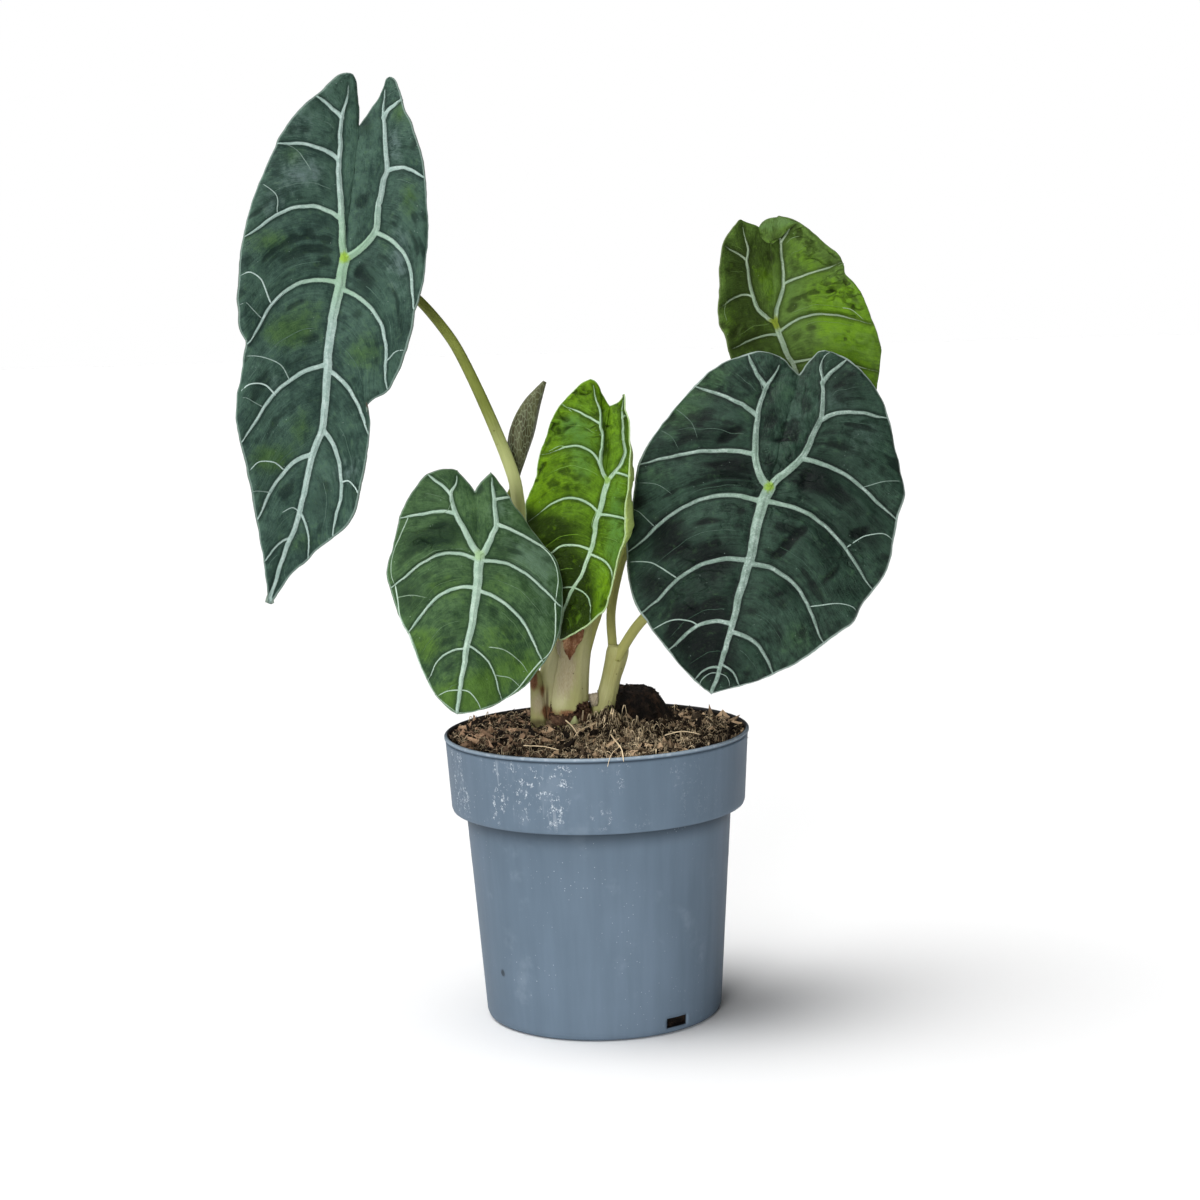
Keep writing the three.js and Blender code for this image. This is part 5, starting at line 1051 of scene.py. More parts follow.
# The end of the back leaf's right lobe, folded over: between a top and a lower edge, listed from the left, each point
# (x, y, how far in front of the blade's middle sheet).
def foldedShape(blade, top, low, rows=26, columns=72, thick=0.55):
    u, v = np.linspace(0, 1, columns), np.linspace(0, 1, rows)[:, None]
    a, b = at(curveOf(top), u), at(curveOf(low), u)
    p = a[None] * (1 - v[..., None]) + b[None] * v[..., None]
    wide = np.sin(np.pi * u) ** 0.7
    puff = (2.3 * 4 * v * (1 - v) * wide + 0.35 * cloud(p[..., 0], p[..., 1], 3.2, 61) * wide
            + 0.5 * wide * ramp(v, 0.85, 1))
    front, behind = (blade.put(p[..., :2], p[..., 2] + puff - d) for d in (0, thick))
    loop = np.concatenate([front, behind[::-1]], 0)
    closed = np.concatenate([(loop[:, :1] + loop[::-1, :1]) / 2, loop, (loop[:, -1:] + loop[::-1, -1:]) / 2], 1)
    flat = np.concatenate([p, p[::-1]], 0)
    flat = np.concatenate([flat[:, :1], flat, flat[:, -1:]], 1)
    points, flat = closed.swapaxes(0, 1).reshape(-1, 3), flat.swapaxes(0, 1).reshape(-1, 3)
    first, number = weld(points)
    flat = flat[first]
    vAll = np.tile(np.concatenate([v[:, 0], v[::-1, 0]]), columns + 2)[first]
    count = len(first)
    # On the flap, dim paints shade towards its lower right, and pale paints sheen towards its top.
    values = {"veinGap": np.full(count, farGap), "edgeGap": 0.1 + 9 * np.minimum(vAll, 1 - vAll),
              "heartGap": np.full(count, 99.0),
              "under": np.zeros(count), "bright": np.full(count, 0.25),
              "dim": ramp(flat[:, 0], 2, 9) * ramp(vAll, 0.3, 0.9), "pale": 0.75 * (1 - ramp(vAll, 0.3, 0.95)),
              "fold": 0.3 * cloud(flat[:, 0], flat[:, 1], 3, 62), "dent": np.zeros(count),
              "wrinkled": ramp(vAll, 0.4, 1) * 0.7}
    return points[first], whole(number[gridFaces(columns + 2, 2 * rows, loop=True)]), values, flat[:, :2] * (0.5, 1.6)


flapTop = [(-6.4, 37.4, 2.4), (-4.9, 39.6, 2.2), (-2.4, 41, 1.4), (1.2, 41.5, 0.8), (4.8, 41.1, 1.8), (9.2, 39, 3.9)]
flapLow = [(-6.4, 37.4, 2.4), (-5.6, 34, 2.8), (-3.4, 31.6, 3), (-0.8, 31.2, 3.2), (1.2, 32.6, 3.2), (3.4, 34.6, 3.4),
           (6.2, 37.3, 3.8), (9.2, 39, 3.9)]
points, faces, values, grain = foldedShape(blades["back"], flapTop, flapLow)
piece("leaf_back_fold", points, faces, bpy.data.materials["leaf_back"], "leaf_fresh_green", (), values, grain)
print("leaves done")

# Stalks: a round tube along points of [across, up, back, radius], closed at both ends. The shape gives a factor
# on the radius for the share along and the angle round.
def stalk(points, sides=28, steps=72, shape=None):
    table = np.array(points, float)
    centre = curveOf(seen(table[:, 0], table[:, 1], table[:, 2]) / mm)
    s = np.linspace(0, 1, steps)
    line = at(centre, s)
    dense = curveOf(np.hstack([np.arange(len(table))[:, None], table[:, 3:]]))[0]
    knots = np.array([nearest(centre, p) for p in seen(table[:, 0], table[:, 1], table[:, 2]) / mm])
    radius = np.interp(np.interp(s, knots, np.arange(len(table))), dense[:, 0], dense[:, 1])
    run = unit(np.gradient(line, axis=0))
    right = unit(np.cross(run, [0, 1, 0]))
    front = np.cross(run, right)
    angle = roundAngles(sides)
    factor = shape(s[:, None], angle[None]) if shape else np.ones((steps, sides))
    ring = radius[:, None] * factor
    surface = (line[:, None] + right[:, None] * (ring * np.cos(angle))[..., None]
               + front[:, None] * (ring * np.sin(angle))[..., None])
    ends = [np.repeat(line[i][None], sides, 0) for i in (0, -1)]
    surface = np.concatenate([ends[0][None], surface, ends[1][None]])
    length = centre[1][-1]
    along = np.concatenate([[0], s, [1]])
    values = {"along": np.repeat(along * length, sides), "turn": np.tile(angle, steps + 2)}
    points = surface.reshape(-1, 3) * mm
    first, number = weld(points)
    faces = whole(number[gridFaces(steps + 2, sides, loop=True)])
    return points[first], faces, {key: value[first] for key, value in values.items()}


petioles = {
    "tall": [(-17.5, -27, 12, 2.9), (-18.6, -17, 11, 2.9), (-21.5, -4, 9, 2.8), (-26.5, 15.5, 8, 2.7),
             (-31.5, 36, 7, 2.6), (-34, 49, 6, 2.5), (-42.5, 70.5, 5, 2.3), (-53.5, 94, 3, 2.1), (-61, 106, 1, 2),
             (-72, 118.5, -2, 1.8), (-84, 127.5, -6, 1.7), (-94, 132, -11, 1.7), (-100.3, 134, -15.5, 1.8)],
    "low": [(-25, -37, 1.4, 1.9), (-25.6, -29, 0.5, 2), (-29, -14, -6, 1.9), (-35, 3, -18, 1.8),
            (-42, 13.5, -31, 1.7), (-47.4, 17.6, -39.5, 1.8)],
    "young": [(-8, -24, 5, 3.3), (-4.8, -12, 3.4, 3.4), (-1.4, -2, 0, 3), (1.6, 15.5, -5, 2.2), (4, 32, -9, 1.9),
              (4.4, 43, -13.6, 1.8), (2.7, 47, -17.5, 1.8)],
    "wide": [(6.6, -23.5, 5.4, 2), (9.4, -18, 4.6, 2), (15.4, -9.2, 3, 2), (26, 1.5, -1, 2), (40, 14.5, -8, 1.9),
             (54, 32, -15, 1.8), (62, 41, -20, 1.7), (66.2, 44.3, -24.5, 1.8)],
    "back": [(5, -24.5, 10.6, 1.8), (4.9, -18, 11, 1.8), (4.5, -3, 13, 1.8), (9, 17, 19, 1.8), (15, 28, 23, 1.8),
             (28, 48, 31, 1.8), (48, 78, 38, 1.7), (60, 97, 39, 1.6), (66, 105, 36, 1.6), (68.5, 108.5, 29.5, 1.8)],
    "spear": [(-19.2, -33, 17, 1.5), (-20.6, -25, 17.6, 1.5), (-24, -10, 18, 1.6), (-31, 12, 17, 1.6),
              (-35, 30, 15.4, 1.6), (-35.6, 39, 14.6, 1.6), (-33.2, 44.6, 14.4, 1.6)],
}
sheaths = {
    "main": [(-12.6, -57, 6, 8.4), (-12.5, -45, 6, 8.4), (-12.2, -36, 6, 8.1), (-11.6, -27, 5.8, 7.7),
             (-10.2, -19, 5, 7), (-7.8, -13, 4, 5.8), (-5.2, -8, 3, 4.7), (-2.4, -4, 1.2, 3.3)],
    "left": [(-21, -54, 5.4, 3.6), (-21, -42, 4.6, 3.4), (-20, -31, 4, 3.8), (-18, -22, 4, 3.8),
             (-16, -15.5, 4.4, 2.2)],
    "behind": [(-15, -50, 12, 4.5), (-16.5, -32, 12, 4.6), (-18.2, -19, 11, 4.3), (-19.4, -12, 10.4, 3.7)],
    "right": [(0.6, -57, 8, 5.6), (0.8, -46, 8, 5), (3, -37, 8, 4), (4.6, -30, 8, 3.8), (6, -24.5, 8, 4.2),
              (6.8, -20.5, 8, 4.4), (7.2, -18, 8, 4.1)],
    "rolled": [(-17, -54, 15, 3.4), (-18.6, -38, 16.4, 3.1), (-20.4, -26, 17.4, 2.6)],
    "low": [(-23.6, -57, 3, 3.6), (-23.8, -46, 2.4, 3.3), (-24.4, -38, 1.6, 2.8), (-25, -32, 0.8, 2.4),
            (-25.4, -28, 0.4, 2)],
}


# Where points are seen from the camera, across and up in the plane aimed at, to paint what faces it.
def asSeen(points):
    local = (points / mm - eyePoint) @ eyeAxes
    return -local[:, :2] / local[:, 2:] * eye["distance"]


# The sum of soft round spots of (across, up, radius across, radius up, amount) as seen, on points in front of depth.
def marks(points, spots, depth=30):
    x, y = asSeen(points).T
    total = sum(amount * np.exp(-((x - x0) / rx) ** 2 - ((y - y0) / ry) ** 2) for x0, y0, rx, ry, amount in spots)
    return np.minimum(total, 1) * ramp(points[:, 1] / mm, depth + 1, depth - 1)


def stemPaint(name, young, old, gloss=0.25, marked=False, foot=None, footEnds=(66, 14)):
    paint = Paint(name, Specular_IOR_Level=gloss)
    place, along, turn = paint.place(), paint.attribute("along"), paint.attribute("turn")
    wrapped = paint.node("ShaderNodeCombineXYZ", {},
                         [turn.math("COSINE") * 1.6, turn.math("SINE") * 1.6, along * 0.035])
    fibres = paint.noise(wrapped, 6.0, 4)
    thread = paint.noise(wrapped, 22.0, 2)
    blotch = paint.noise(place, 110, 3)
    color = paint.mix((fibres * 0.6 + blotch * 0.5 + thread * 0.2 - 0.15).step(0.3, 0.7), young, old)
    height = fibres * 0.6 + thread * 0.35 + blotch * 0.4
    if foot:
        color = paint.mix((along + (fibres - 0.5) * 14).step(*footEnds), color, foot)
    if marked:
        pink, rust, cream, shade = (paint.attribute(k) for k in ("pink", "rust", "cream", "shade"))
        color = paint.mix((cream + thread * 0.4 - 0.2).step(0.1, 0.9), color, (0.56, 0.55, 0.31))
        veil = (pink + (fibres - 0.5) * 0.9 + (blotch - 0.5) * 0.5).step(0.15, 0.9)
        color = paint.mix(veil * 0.52, color,
                          paint.mix(thread.step(0.35, 0.65), (0.42, 0.31, 0.24), (0.58, 0.49, 0.39)))
        color = paint.mix((rust + (blotch - 0.5) * 1.2 + (thread - 0.5) * 0.6).step(0.3, 0.7), color,
                          paint.mix(thread.step(0.35, 0.65), (0.1, 0.035, 0.015), (0.28, 0.14, 0.07)))
        color = paint.mix((shade + (blotch - 0.5) * 0.5).step(0.2, 0.9) * 0.85, color, (0.07, 0.05, 0.025))
    dots = paint.cells(place, 260)
    color = paint.mix(dots.step(0.13, 0.05) * blotch.step(0.5, 0.6) * 0.7, color, (0.1, 0.08, 0.02))
    return paint.finish(color, 0.45 + blotch * 0.16, height, 0.3)


petiolePaint = stemPaint("petiole", (0.212, 0.25, 0.056), (0.152, 0.18, 0.038), 0.1, foot=(0.34, 0.34, 0.115))
# The tall petiole's lower part is paler: its real pale foot, made brighter still as painted light where the leaves
# above shade it.
paleLitFoot = stemPaint("petiolePaleLitFoot", (0.205, 0.24, 0.05), (0.15, 0.175, 0.036), 0.1, foot=(0.5, 0.54, 0.23),
                     footEnds=(112, 76))
ridged = lambda s, a: 1 + 0.03 * np.sin(5 * a + 3 * s) + 0.02 * np.sin(11 * a)
for name, points in petioles.items():
    if name in leaves:
        points = points + [(*leaves[name]["heart"], leaves[name]["back"] + 0.5, 1.2)]
    points, faces, values = stalk(points, shape=ridged)
    piece(f"petiole_{name}_fine", points, faces, paleLitFoot if name == "tall" else petiolePaint, "petiole_skin",
          (f"petiole_{name}",), values)
sheathPaint = stemPaint("sheath", (0.38, 0.38, 0.16), (0.32, 0.31, 0.12), 0.1, marked=True)
folded = lambda s, a: 1 + 0.03 * np.sin(3 * a + 4 * s) + 0.02 * np.sin(9 * a + 2) + 0.012 * np.sin(17 * a + 6 * s)
points, faces, values = together([stalk(p, 56, 66, folded) for p in sheaths.values()])
values["pink"] = marks(points, [(-13, -26, 4, 9, 1), (-14.5, -35, 4, 6, 0.6), (-23.5, -40, 4, 5, 1),
                                (-14, -17, 2.5, 5, 0.8)])
values["rust"] = marks(points, [(-26, -31, 1.8, 5, 1), (-22.6, -36, 1.2, 4, 0.6), (-20.6, -43.5, 2, 4, 0.7),
                                (-12, -45, 9, 2.6, 0.8), (-4, -42, 2, 3, 0.5)])
values["cream"] = marks(points,
                        [(-19, -26, 4, 10, 0.9), (-6, -26, 3.5, 16, 0.6), (-16, -40, 4, 5, 0.7),
                         (1.5, -36, 3, 8, 0.4)])
values["shade"] = marks(points,
                        [(-20.7, -40, 0.8, 7, 0.9), (-3, -46, 3, 3, 0.9), (4, -46, 4, 3, 0.7), (-24, -48, 6, 2, 0.8)])
piece("sheaths", points, faces, sheathPaint, "sheath_skin", ("crown",), values)
bud = [(-10.3, -52.5, -5.6, 1.6), (-10, -48.4, -5.7, 1.7), (-9.7, -45.4, -5.4, 0.4)]
points, faces, values = stalk(bud, 20, 30)
piece("bud_fine", points, faces, stemPaint("budSkin", (0.33, 0.37, 0.15), (0.44, 0.45, 0.25)), "sheath_skin",
      ("bud",), values)
spear = [(-34, 42.6, 14.5, 1.4), (-33.8, 46.6, 14.6, 1.9), (-32.9, 55, 14.6, 3.6), (-30.5, 66, 14.6, 4.6),
         (-27, 76, 14.8, 3.4),
         (-21.6, 85.6, 15, 0.7)]
rolledUp = lambda s, a: 1 + 0.06 * np.sin(2 * a + 1) + 0.03 * np.sin(7 * a + 5 * s)
points, faces, values = stalk(spear, 48, 90, rolledUp)
paint = Paint("spearSkin", Specular_IOR_Level=0.15)
cells = paint.cells(paint.scaled(paint.place(), (1.3, 1.3, 0.5)), 620, "DISTANCE_TO_EDGE")
net = cells.step(0.1, 0.03) * (0.2 + paint.noise(paint.place(), 200) * 0.8)
tone = paint.noise(paint.scaled(paint.place(), (1, 1, 0.3)), 180, 3)
color = paint.mix(tone.step(0.35, 0.65), (0.042, 0.038, 0.018), (0.1, 0.105, 0.05))
color = paint.mix(net, color, (0.23, 0.27, 0.16))
piece("spear_fine", points, faces, paint.finish(color, 0.5, net + tone * 0.5, 0.15), "spear_skin", ("spear",), values)
print("stems done")

# Pot: a thin moulded cup with a stepped collar, a bead under the lip, and drain slots at the foot
pot = {"height": 113, "rimRadius": 60, "collarHeight": 29.75, "collarFootRadius": 57.9, "shoulderRadius": 52.3,
       "footRadius": 46.7, "wall": 1.5, "floor": 2.5, "segments": 192, "slots": 2, "slotFirst": -0.93,
       "slotWidth": 10,
       "slotFoot": 1.5, "slotTop": 6.5}


def potShape():
    h, rim, foot, shoulder = pot["height"], pot["rimRadius"], pot["footRadius"], pot["shoulderRadius"]
    collar, wall, step = pot["collarFootRadius"], pot["wall"], pot["height"] - pot["collarHeight"]
    slotRise = np.linspace(0, 1, 5)
    body = lambda z: foot + (shoulder - foot) * (z - 2) / (step - 3)
    inner = lambda z: foot - wall + (shoulder - foot) * (z - pot["floor"]) / (step + 1.2 - pot["floor"])
    outerSlot = pot["slotFoot"] + 0.8 + (pot["slotTop"] - pot["slotFoot"] - 0.8) * slotRise
    innerSlot = pot["floor"] + (pot["slotTop"] - pot["floor"]) * slotRise
    lip = [(rim - 0.5, h - 2.2), (rim - 0.8, h - 1.95), (rim - 0.85, h - 1.7), (rim - 0.55, h - 1.5),
           (rim - 0.1, h - 1.3),
           (rim, h - 1), (rim, h - 0.45), (rim - 0.25, h - 0.1), (rim - 0.7, h)]
    below = [(0, 0), (foot - 12, 0), (foot - 3.5, 0), (foot - 1.6, 0.15), (foot - 0.5, 0.9)]
    outside = (below + [(body(z), z) for z in outerSlot]
               + [(body(z), z) for z in np.linspace(pot["slotTop"] + 1.5, step - 1, 34)]
               + [(shoulder + 0.3, step - 0.4), (shoulder + 1.4, step), (collar - 1.4, step),
                  (collar - 0.4, step + 0.4),
                  (collar, step + 1.6)]
               + [(collar + (rim - 0.5 - collar) * t,
                   step + 1.6 + (h - 2.6 - step - 1.6) * t) for t in np.linspace(0.08, 1, 14)]
               + lip)
    inside = ([(rim - wall, h), (rim - wall, h - 1), (collar - wall, step + 2.2), (shoulder - wall, step + 1.2),
               (inner(pot["slotTop"] + 20), pot["slotTop"] + 20)]
              + [(inner(z), z) for z in innerSlot[::-1]] + [(0, pot["floor"])])
    profile = np.array(outside + inside, float)
    reach = pot["slotWidth"] / 2 / foot
    centres = roundAngles(pot["slots"], pot["slotFirst"])
    evenly = roundAngles(pot["segments"], pot["slotFirst"])
    slotAngles = np.concatenate([c + np.linspace(-reach, reach, 9) for c in centres])
    apart = np.abs((evenly[:, None] - centres + np.pi) % (2 * np.pi) - np.pi).min(1) > reach + 0.012
    angle = np.sort(np.concatenate([evenly[apart], slotAngles]) % (2 * np.pi))
    count = len(angle)
    radius, z = profile[:, :1], profile[:, 1:]
    wobble = 1 + 0.0012 * np.sin(2 * angle + 0.6) * (z > 60)
    surface = np.stack([radius * wobble * np.cos(angle), radius * wobble * np.sin(angle), z + 0 * angle], -1)
    k = np.arange(len(profile) * count).reshape(len(profile), count)
    k = np.hstack([k, k[:, :1]])
    quads = np.stack([k[:-1, :-1], k[:-1, 1:], k[1:, 1:], k[1:, :-1]], -1)
    keep = np.ones(quads.shape[:2], bool)
    firstOut, lastIn = len(below), len(profile) - 2
    extra = []
    for c in centres:
        firstColumn = np.argmin(np.abs((angle - c + reach + np.pi) % (2 * np.pi) - np.pi))
        columns = (firstColumn + np.arange(9)) % count
        keep[firstOut:firstOut + 4, columns[:-1]] = False
        keep[lastIn - 4:lastIn, columns[:-1]] = False
        outer = [k[firstOut + i, columns] for i in range(5)]
        deeper = [k[lastIn - i, columns] for i in range(5)]
        loopOut = np.concatenate([outer[0], [r[-1] for r in outer[1:-1]], outer[-1][::-1],
                                  [r[0] for r in outer[-2:0:-1]]])
        loopIn = np.concatenate([deeper[0], [r[-1] for r in deeper[1:-1]], deeper[-1][::-1],
                                 [r[0] for r in deeper[-2:0:-1]]])
        extra.append(np.stack([loopOut, np.roll(loopOut, -1), np.roll(loopIn, -1), loopIn], -1))
    quads = np.concatenate([quads[keep]] + extra)
    faces = np.concatenate([quads[:, :3], quads[:, [0, 2, 3]]])
    points = surface.reshape(-1, 3) * mm
    first, number = weld(points)
    within = np.repeat((np.arange(len(profile)) >= len(outside)) * 1.0, count)
    return points[first], whole(number[faces]), {"within": within[first]}


def potPaint():
    paint = Paint("potPlastic", Specular_IOR_Level=0.08)
    place = paint.place()
    x = paint.node("ShaderNodeSeparateXYZ", {}, [place])
    y, z = (Value(paint, x.socket.node.outputs[k]) for k in "YZ")
    broad = paint.noise(place, 16, 3)
    streaks = paint.noise(paint.scaled(place, (1, 1, 0.07)), 120, 4, 0.6)
    fine = paint.noise(place, 700, 3)
    body = paint.mix((broad * 0.6 + streaks * 0.55 - 0.08).step(0.3, 0.75), (0.106, 0.148, 0.195),
                     (0.14, 0.19, 0.249))
    smudge = paint.noise(place, 48, 4, 0.6)
    body = paint.mix(smudge.step(0.6, 0.75) * 0.3, body, (0.24, 0.3, 0.36))
    # Painted shade: a dark band on the body just under the collar's step.
    under = z.step(0.0725, 0.083) * (1 - z.step(0.0834, 0.0838))
    body = paint.mix(under * under * 0.85, body, (0.026, 0.036, 0.048))
    # Painted shade: a thin dark line in the groove under the lip.
    groove = z.step(0.1108, 0.1113) * (1 - z.step(0.1115, 0.112))
    body = paint.mix(groove * 0.8, body, (0.02, 0.03, 0.042))
    # Painted highlight: a lighter band along the top of the lip.
    body = paint.mix(z.step(0.1119, 0.1125) * 0.7, body, (0.3, 0.37, 0.43))
    mark = paint.node("ShaderNodeVectorMath", {"operation": "DISTANCE"}, [place, (-0.0392, -0.0282, 0.0232)], "Value")
    body = paint.mix((mark + (fine - 0.5) * 0.0012).step(0.0018, 0.0008) * 0.75, body, (0.02, 0.025, 0.03))
    collar = z.step(0.0835, 0.089) * (1 - z.step(0.1095, 0.1115))
    leftward = x.step(0.045, -0.03)
    front = y.step(0.01, -0.02)
    clumps = paint.noise(paint.scaled(place, (1, 1, 0.3)), 85, 3, 0.6).step(0.47, 0.6)
    small = paint.cells(place, 1450).step(0.38, 0.16)
    large = paint.cells(paint.scaled(place, (1, 1, 0.6)), 520).step(0.24, 0.12)
    lace = (paint.noise(paint.scaled(place, (1, 1, 0.6)), 620, 2) - 0.5).math("ABSOLUTE").step(0.045, 0.01)
    grainy = paint.noise(place, 420, 3).step(0.5, 0.62)
    mineral = (small * grainy * 0.9 + large * grainy * 0.75 + lace * grainy * 0.5) * clumps * (leftward * 0.95
                                                                                               + 0.1) * collar
    stains = (paint.noise(paint.scaled(place, (1, 1, 0.5)), 150, 3).step(0.5, 0.7) * clumps
              * (leftward + 0.1) * collar)
    body = paint.mix(stains * 0.14, body, (0.3, 0.36, 0.42))
    dark = paint.cells(place, 560).step(0.1, 0.04) * grainy * z.step(0.098, 0.108) * (1 - z.step(0.1108, 0.1115))
    body = paint.mix(dark * 0.7, body, (0.025, 0.03, 0.035))
    scatter = paint.cells(place, 480).step(0.12, 0.05) * paint.noise(place, 30, 2).step(0.45, 0.6) * 0.6
    runs = paint.noise(paint.scaled(place, (1, 1, 0.05)), 420, 2).step(0.6, 0.74) * clumps * collar * leftward * 0.22
    lipWear = paint.noise(place, 420, 3).step(0.5, 0.66) * z.step(0.1118, 0.1124) * 0.3
    white = (mineral + scatter * (leftward * 0.7 + 0.3) + runs + lipWear * front).math("MINIMUM", 0.92)
    color = paint.mix(white, body, (0.56, 0.61, 0.66))
    # Near-black soil colour on the inner wall and along the back of the lip: soil stain together with painted shade
    # where the inner wall lies in shadow. Dirt specks on the upper outside are added too.
    dirtAndShadeNoise = paint.noise(place, 160, 4, 0.65)
    soilAndShade = (paint.attribute("within").step(0.25, 0.8) + (1 - front) * z.step(0.1122, 0.1129) * 0.9
              + paint.cells(place, 300).step(0.1, 0.05) * dirtAndShadeNoise.step(0.58, 0.66) * 0.6 * z.step(0.08, 0.1))
    color = paint.mix((soilAndShade + (dirtAndShadeNoise - 0.5) * 0.6 * soilAndShade).math("MINIMUM", 0.95), color, (0.014, 0.01, 0.008))
    scuff = paint.noise(paint.scaled(place, (1, 1, 6)), 90, 4)
    roughness = 0.42 + broad * 0.1 + white * 0.35 + scuff * 0.08
    return paint.finish(color, roughness, fine * 0.4 + white * 0.8 + scuff * 0.2 + streaks * 0.4, 0.08)


points, faces, values = potShape()
piece("pot_fine", points, faces, potPaint(), "pot_plastic", ("pot",), values)
print("pot done")

# Soil: a rough heap with chunks of bark and many bent fibres lying on it
soil = {"rimDrop": 1.4, "crownRise": 4.2, "moundHeight": 11, "rings": 100, "segments": 200, "seed": 11}


# How far a point lies from the middle of the mound at the back right, where 1 is its foot.
def moundReach(x, y):
    return np.hypot((x - 13) / 16, (y - 31) / 15)


def onMound(x, y):
    return ramp(1.36 - moundReach(x, y), 0, 0.36)


def soilTop(x, y):
    r = np.hypot(x, y) / (pot["rimRadius"] - pot["wall"])
    rise = soil["crownRise"] * np.exp(-((x + 8) / 26) ** 2 - ((y - 8) / 26) ** 2)
    mound = soil["moundHeight"] * ramp(1.25 - moundReach(x, y), 0, 0.65)
    clump = 3.2 * np.exp(-((x - 5.4) / 4.5) ** 2 - ((y + 6) / 8) ** 2)
    rough = cloud(x, y, 9, 1) * 1.5 + cloud(x, y, 4, 2) * 1.1 + cloud(x, y, 1.9, 3) * 0.8 + cloud(x, y, 1, 4) * 0.4
    calm = 1 - 0.75 * r ** 5 - 0.35 * onMound(x, y)
    return pot["height"] - soil["rimDrop"] + rise + mound + clump + rough * calm - 1.2 * r ** 8


def soilShape():
    radius = np.linspace(0, 1, soil["rings"]) ** 0.75 * (pot["rimRadius"] - pot["wall"] - 0.15)
    angle = roundAngles(soil["segments"])
    x, y = radius[:, None] * np.cos(angle), radius[:, None] * np.sin(angle)
    surface = np.stack([x, y, soilTop(x, y)], -1)
    wall = pot["wall"] + 0.3
    sides = [(pot["rimRadius"] - wall, 105), (pot["collarFootRadius"] - wall, 87), (pot["shoulderRadius"] - wall, 84),
             (pot["footRadius"] - wall, pot["floor"] + 0.3), (0, pot["floor"] + 0.3)]
    below = [np.stack([r * np.cos(angle), r * np.sin(angle), z + 0 * angle], -1) for r, z in sides]
    surface = np.concatenate([surface, np.array(below)]).reshape(-1, 3) * mm
    first, number = weld(surface)
    faces = whole(number[gridFaces(soil["rings"] + len(sides), soil["segments"], loop=True)])
    return surface[first], faces


def soilPaint(name, dark, light, pale):
    paint = Paint(name, Specular_IOR_Level=0.15)
    place = paint.place()
    tone = paint.noise(place, 300, 5, 0.7)
    color = paint.mix(tone.step(0.42, 0.7), dark, light)
    color = paint.mix(paint.cells(place, 520).step(0.12, 0.03) * 0.4, color, pale)
    # Painted shade: the mound at the back right is painted nearly black, a darker peat that also stands in for the
    # shadow it lies in.
    away = paint.node("ShaderNodeVectorMath", {"operation": "DISTANCE"}, [place, (0.013, 0.031, 0.114)], "Value")
    lumps = paint.noise(place, 190, 3, 0.6).step(0.5, 0.66)
    color = paint.mix(away.step(0.022, 0.014) * 0.7, color,
                      paint.mix(lumps, (0.002, 0.0013, 0.0007), (0.045, 0.024, 0.013)))
    return paint.finish(color, 0.8 + tone * 0.15, tone + paint.noise(place, 1200, 3) * 0.5, 0.8)


def onSoil(random, count, reach=57.5):
    radius, angle = np.sqrt(random.uniform(0, 1, count)) * reach, random.uniform(0, 2 * np.pi, count)
    x, y = radius * np.cos(angle), radius * np.sin(angle)
    return x, y, soilTop(x, y)


# Chunks: small lumps, each a body of 8 faces pulled out of shape.
def chunkShape(count, small, large, seed):
    random = np.random.default_rng(seed)
    x, y, z = onSoil(random, count)
    corners = np.array([(1, 0, 0), (-1, 0, 0), (0, 1, 0), (0, -1, 0), (0, 0, 1), (0, 0, -1)], float)
    faces = np.array([(0, 2, 4), (2, 1, 4), (1, 3, 4), (3, 0, 4), (2, 0, 5), (1, 2, 5), (3, 1, 5), (0, 3, 5)])
    size = (small + (large - small) * random.uniform(0, 1, count) ** 3) * (1 - 0.75 * onMound(x, y))
    shape = corners[None] * (0.6 + 0.7 * random.uniform(0, 1, (count, 6, 1))) + random.normal(0, 0.18, (count, 6, 3))
    stretch = np.stack([random.uniform(0.7, 1.9, count), random.uniform(0.5, 1, count),
                        random.uniform(0.3, 0.8, count)], -1)
    turn = random.uniform(0, 2 * np.pi, count)
    tilt = random.normal(0, 0.5, count)
    p = shape * stretch[:, None] * size[:, None, None]
    c, s, ct, st = np.cos(turn)[:, None], np.sin(turn)[:, None], np.cos(tilt)[:, None], np.sin(tilt)[:, None]
    px, py, pz = p[..., 0] * ct - p[..., 2] * st, p[..., 1], p[..., 0] * st + p[..., 2] * ct
    p = np.stack([px * c - py * s + x[:, None], px * s + py * c + y[:, None], pz + z[:, None] + size[:, None] * 0.25],
                 -1)
    every = (faces[None] + (np.arange(count) * 6)[:, None, None]).reshape(-1, 3)
    # Chunks on the mound are painted nearly black, as painted shade.
    tone = random.uniform(0, 1, count) ** 1.7 * (1 - 0.97 * onMound(x, y))
    return p.reshape(-1, 3) * mm, every, {"tone": np.repeat(tone, 6), "red": np.repeat(0.45 * ramp(-x, 5, 35), 6)}


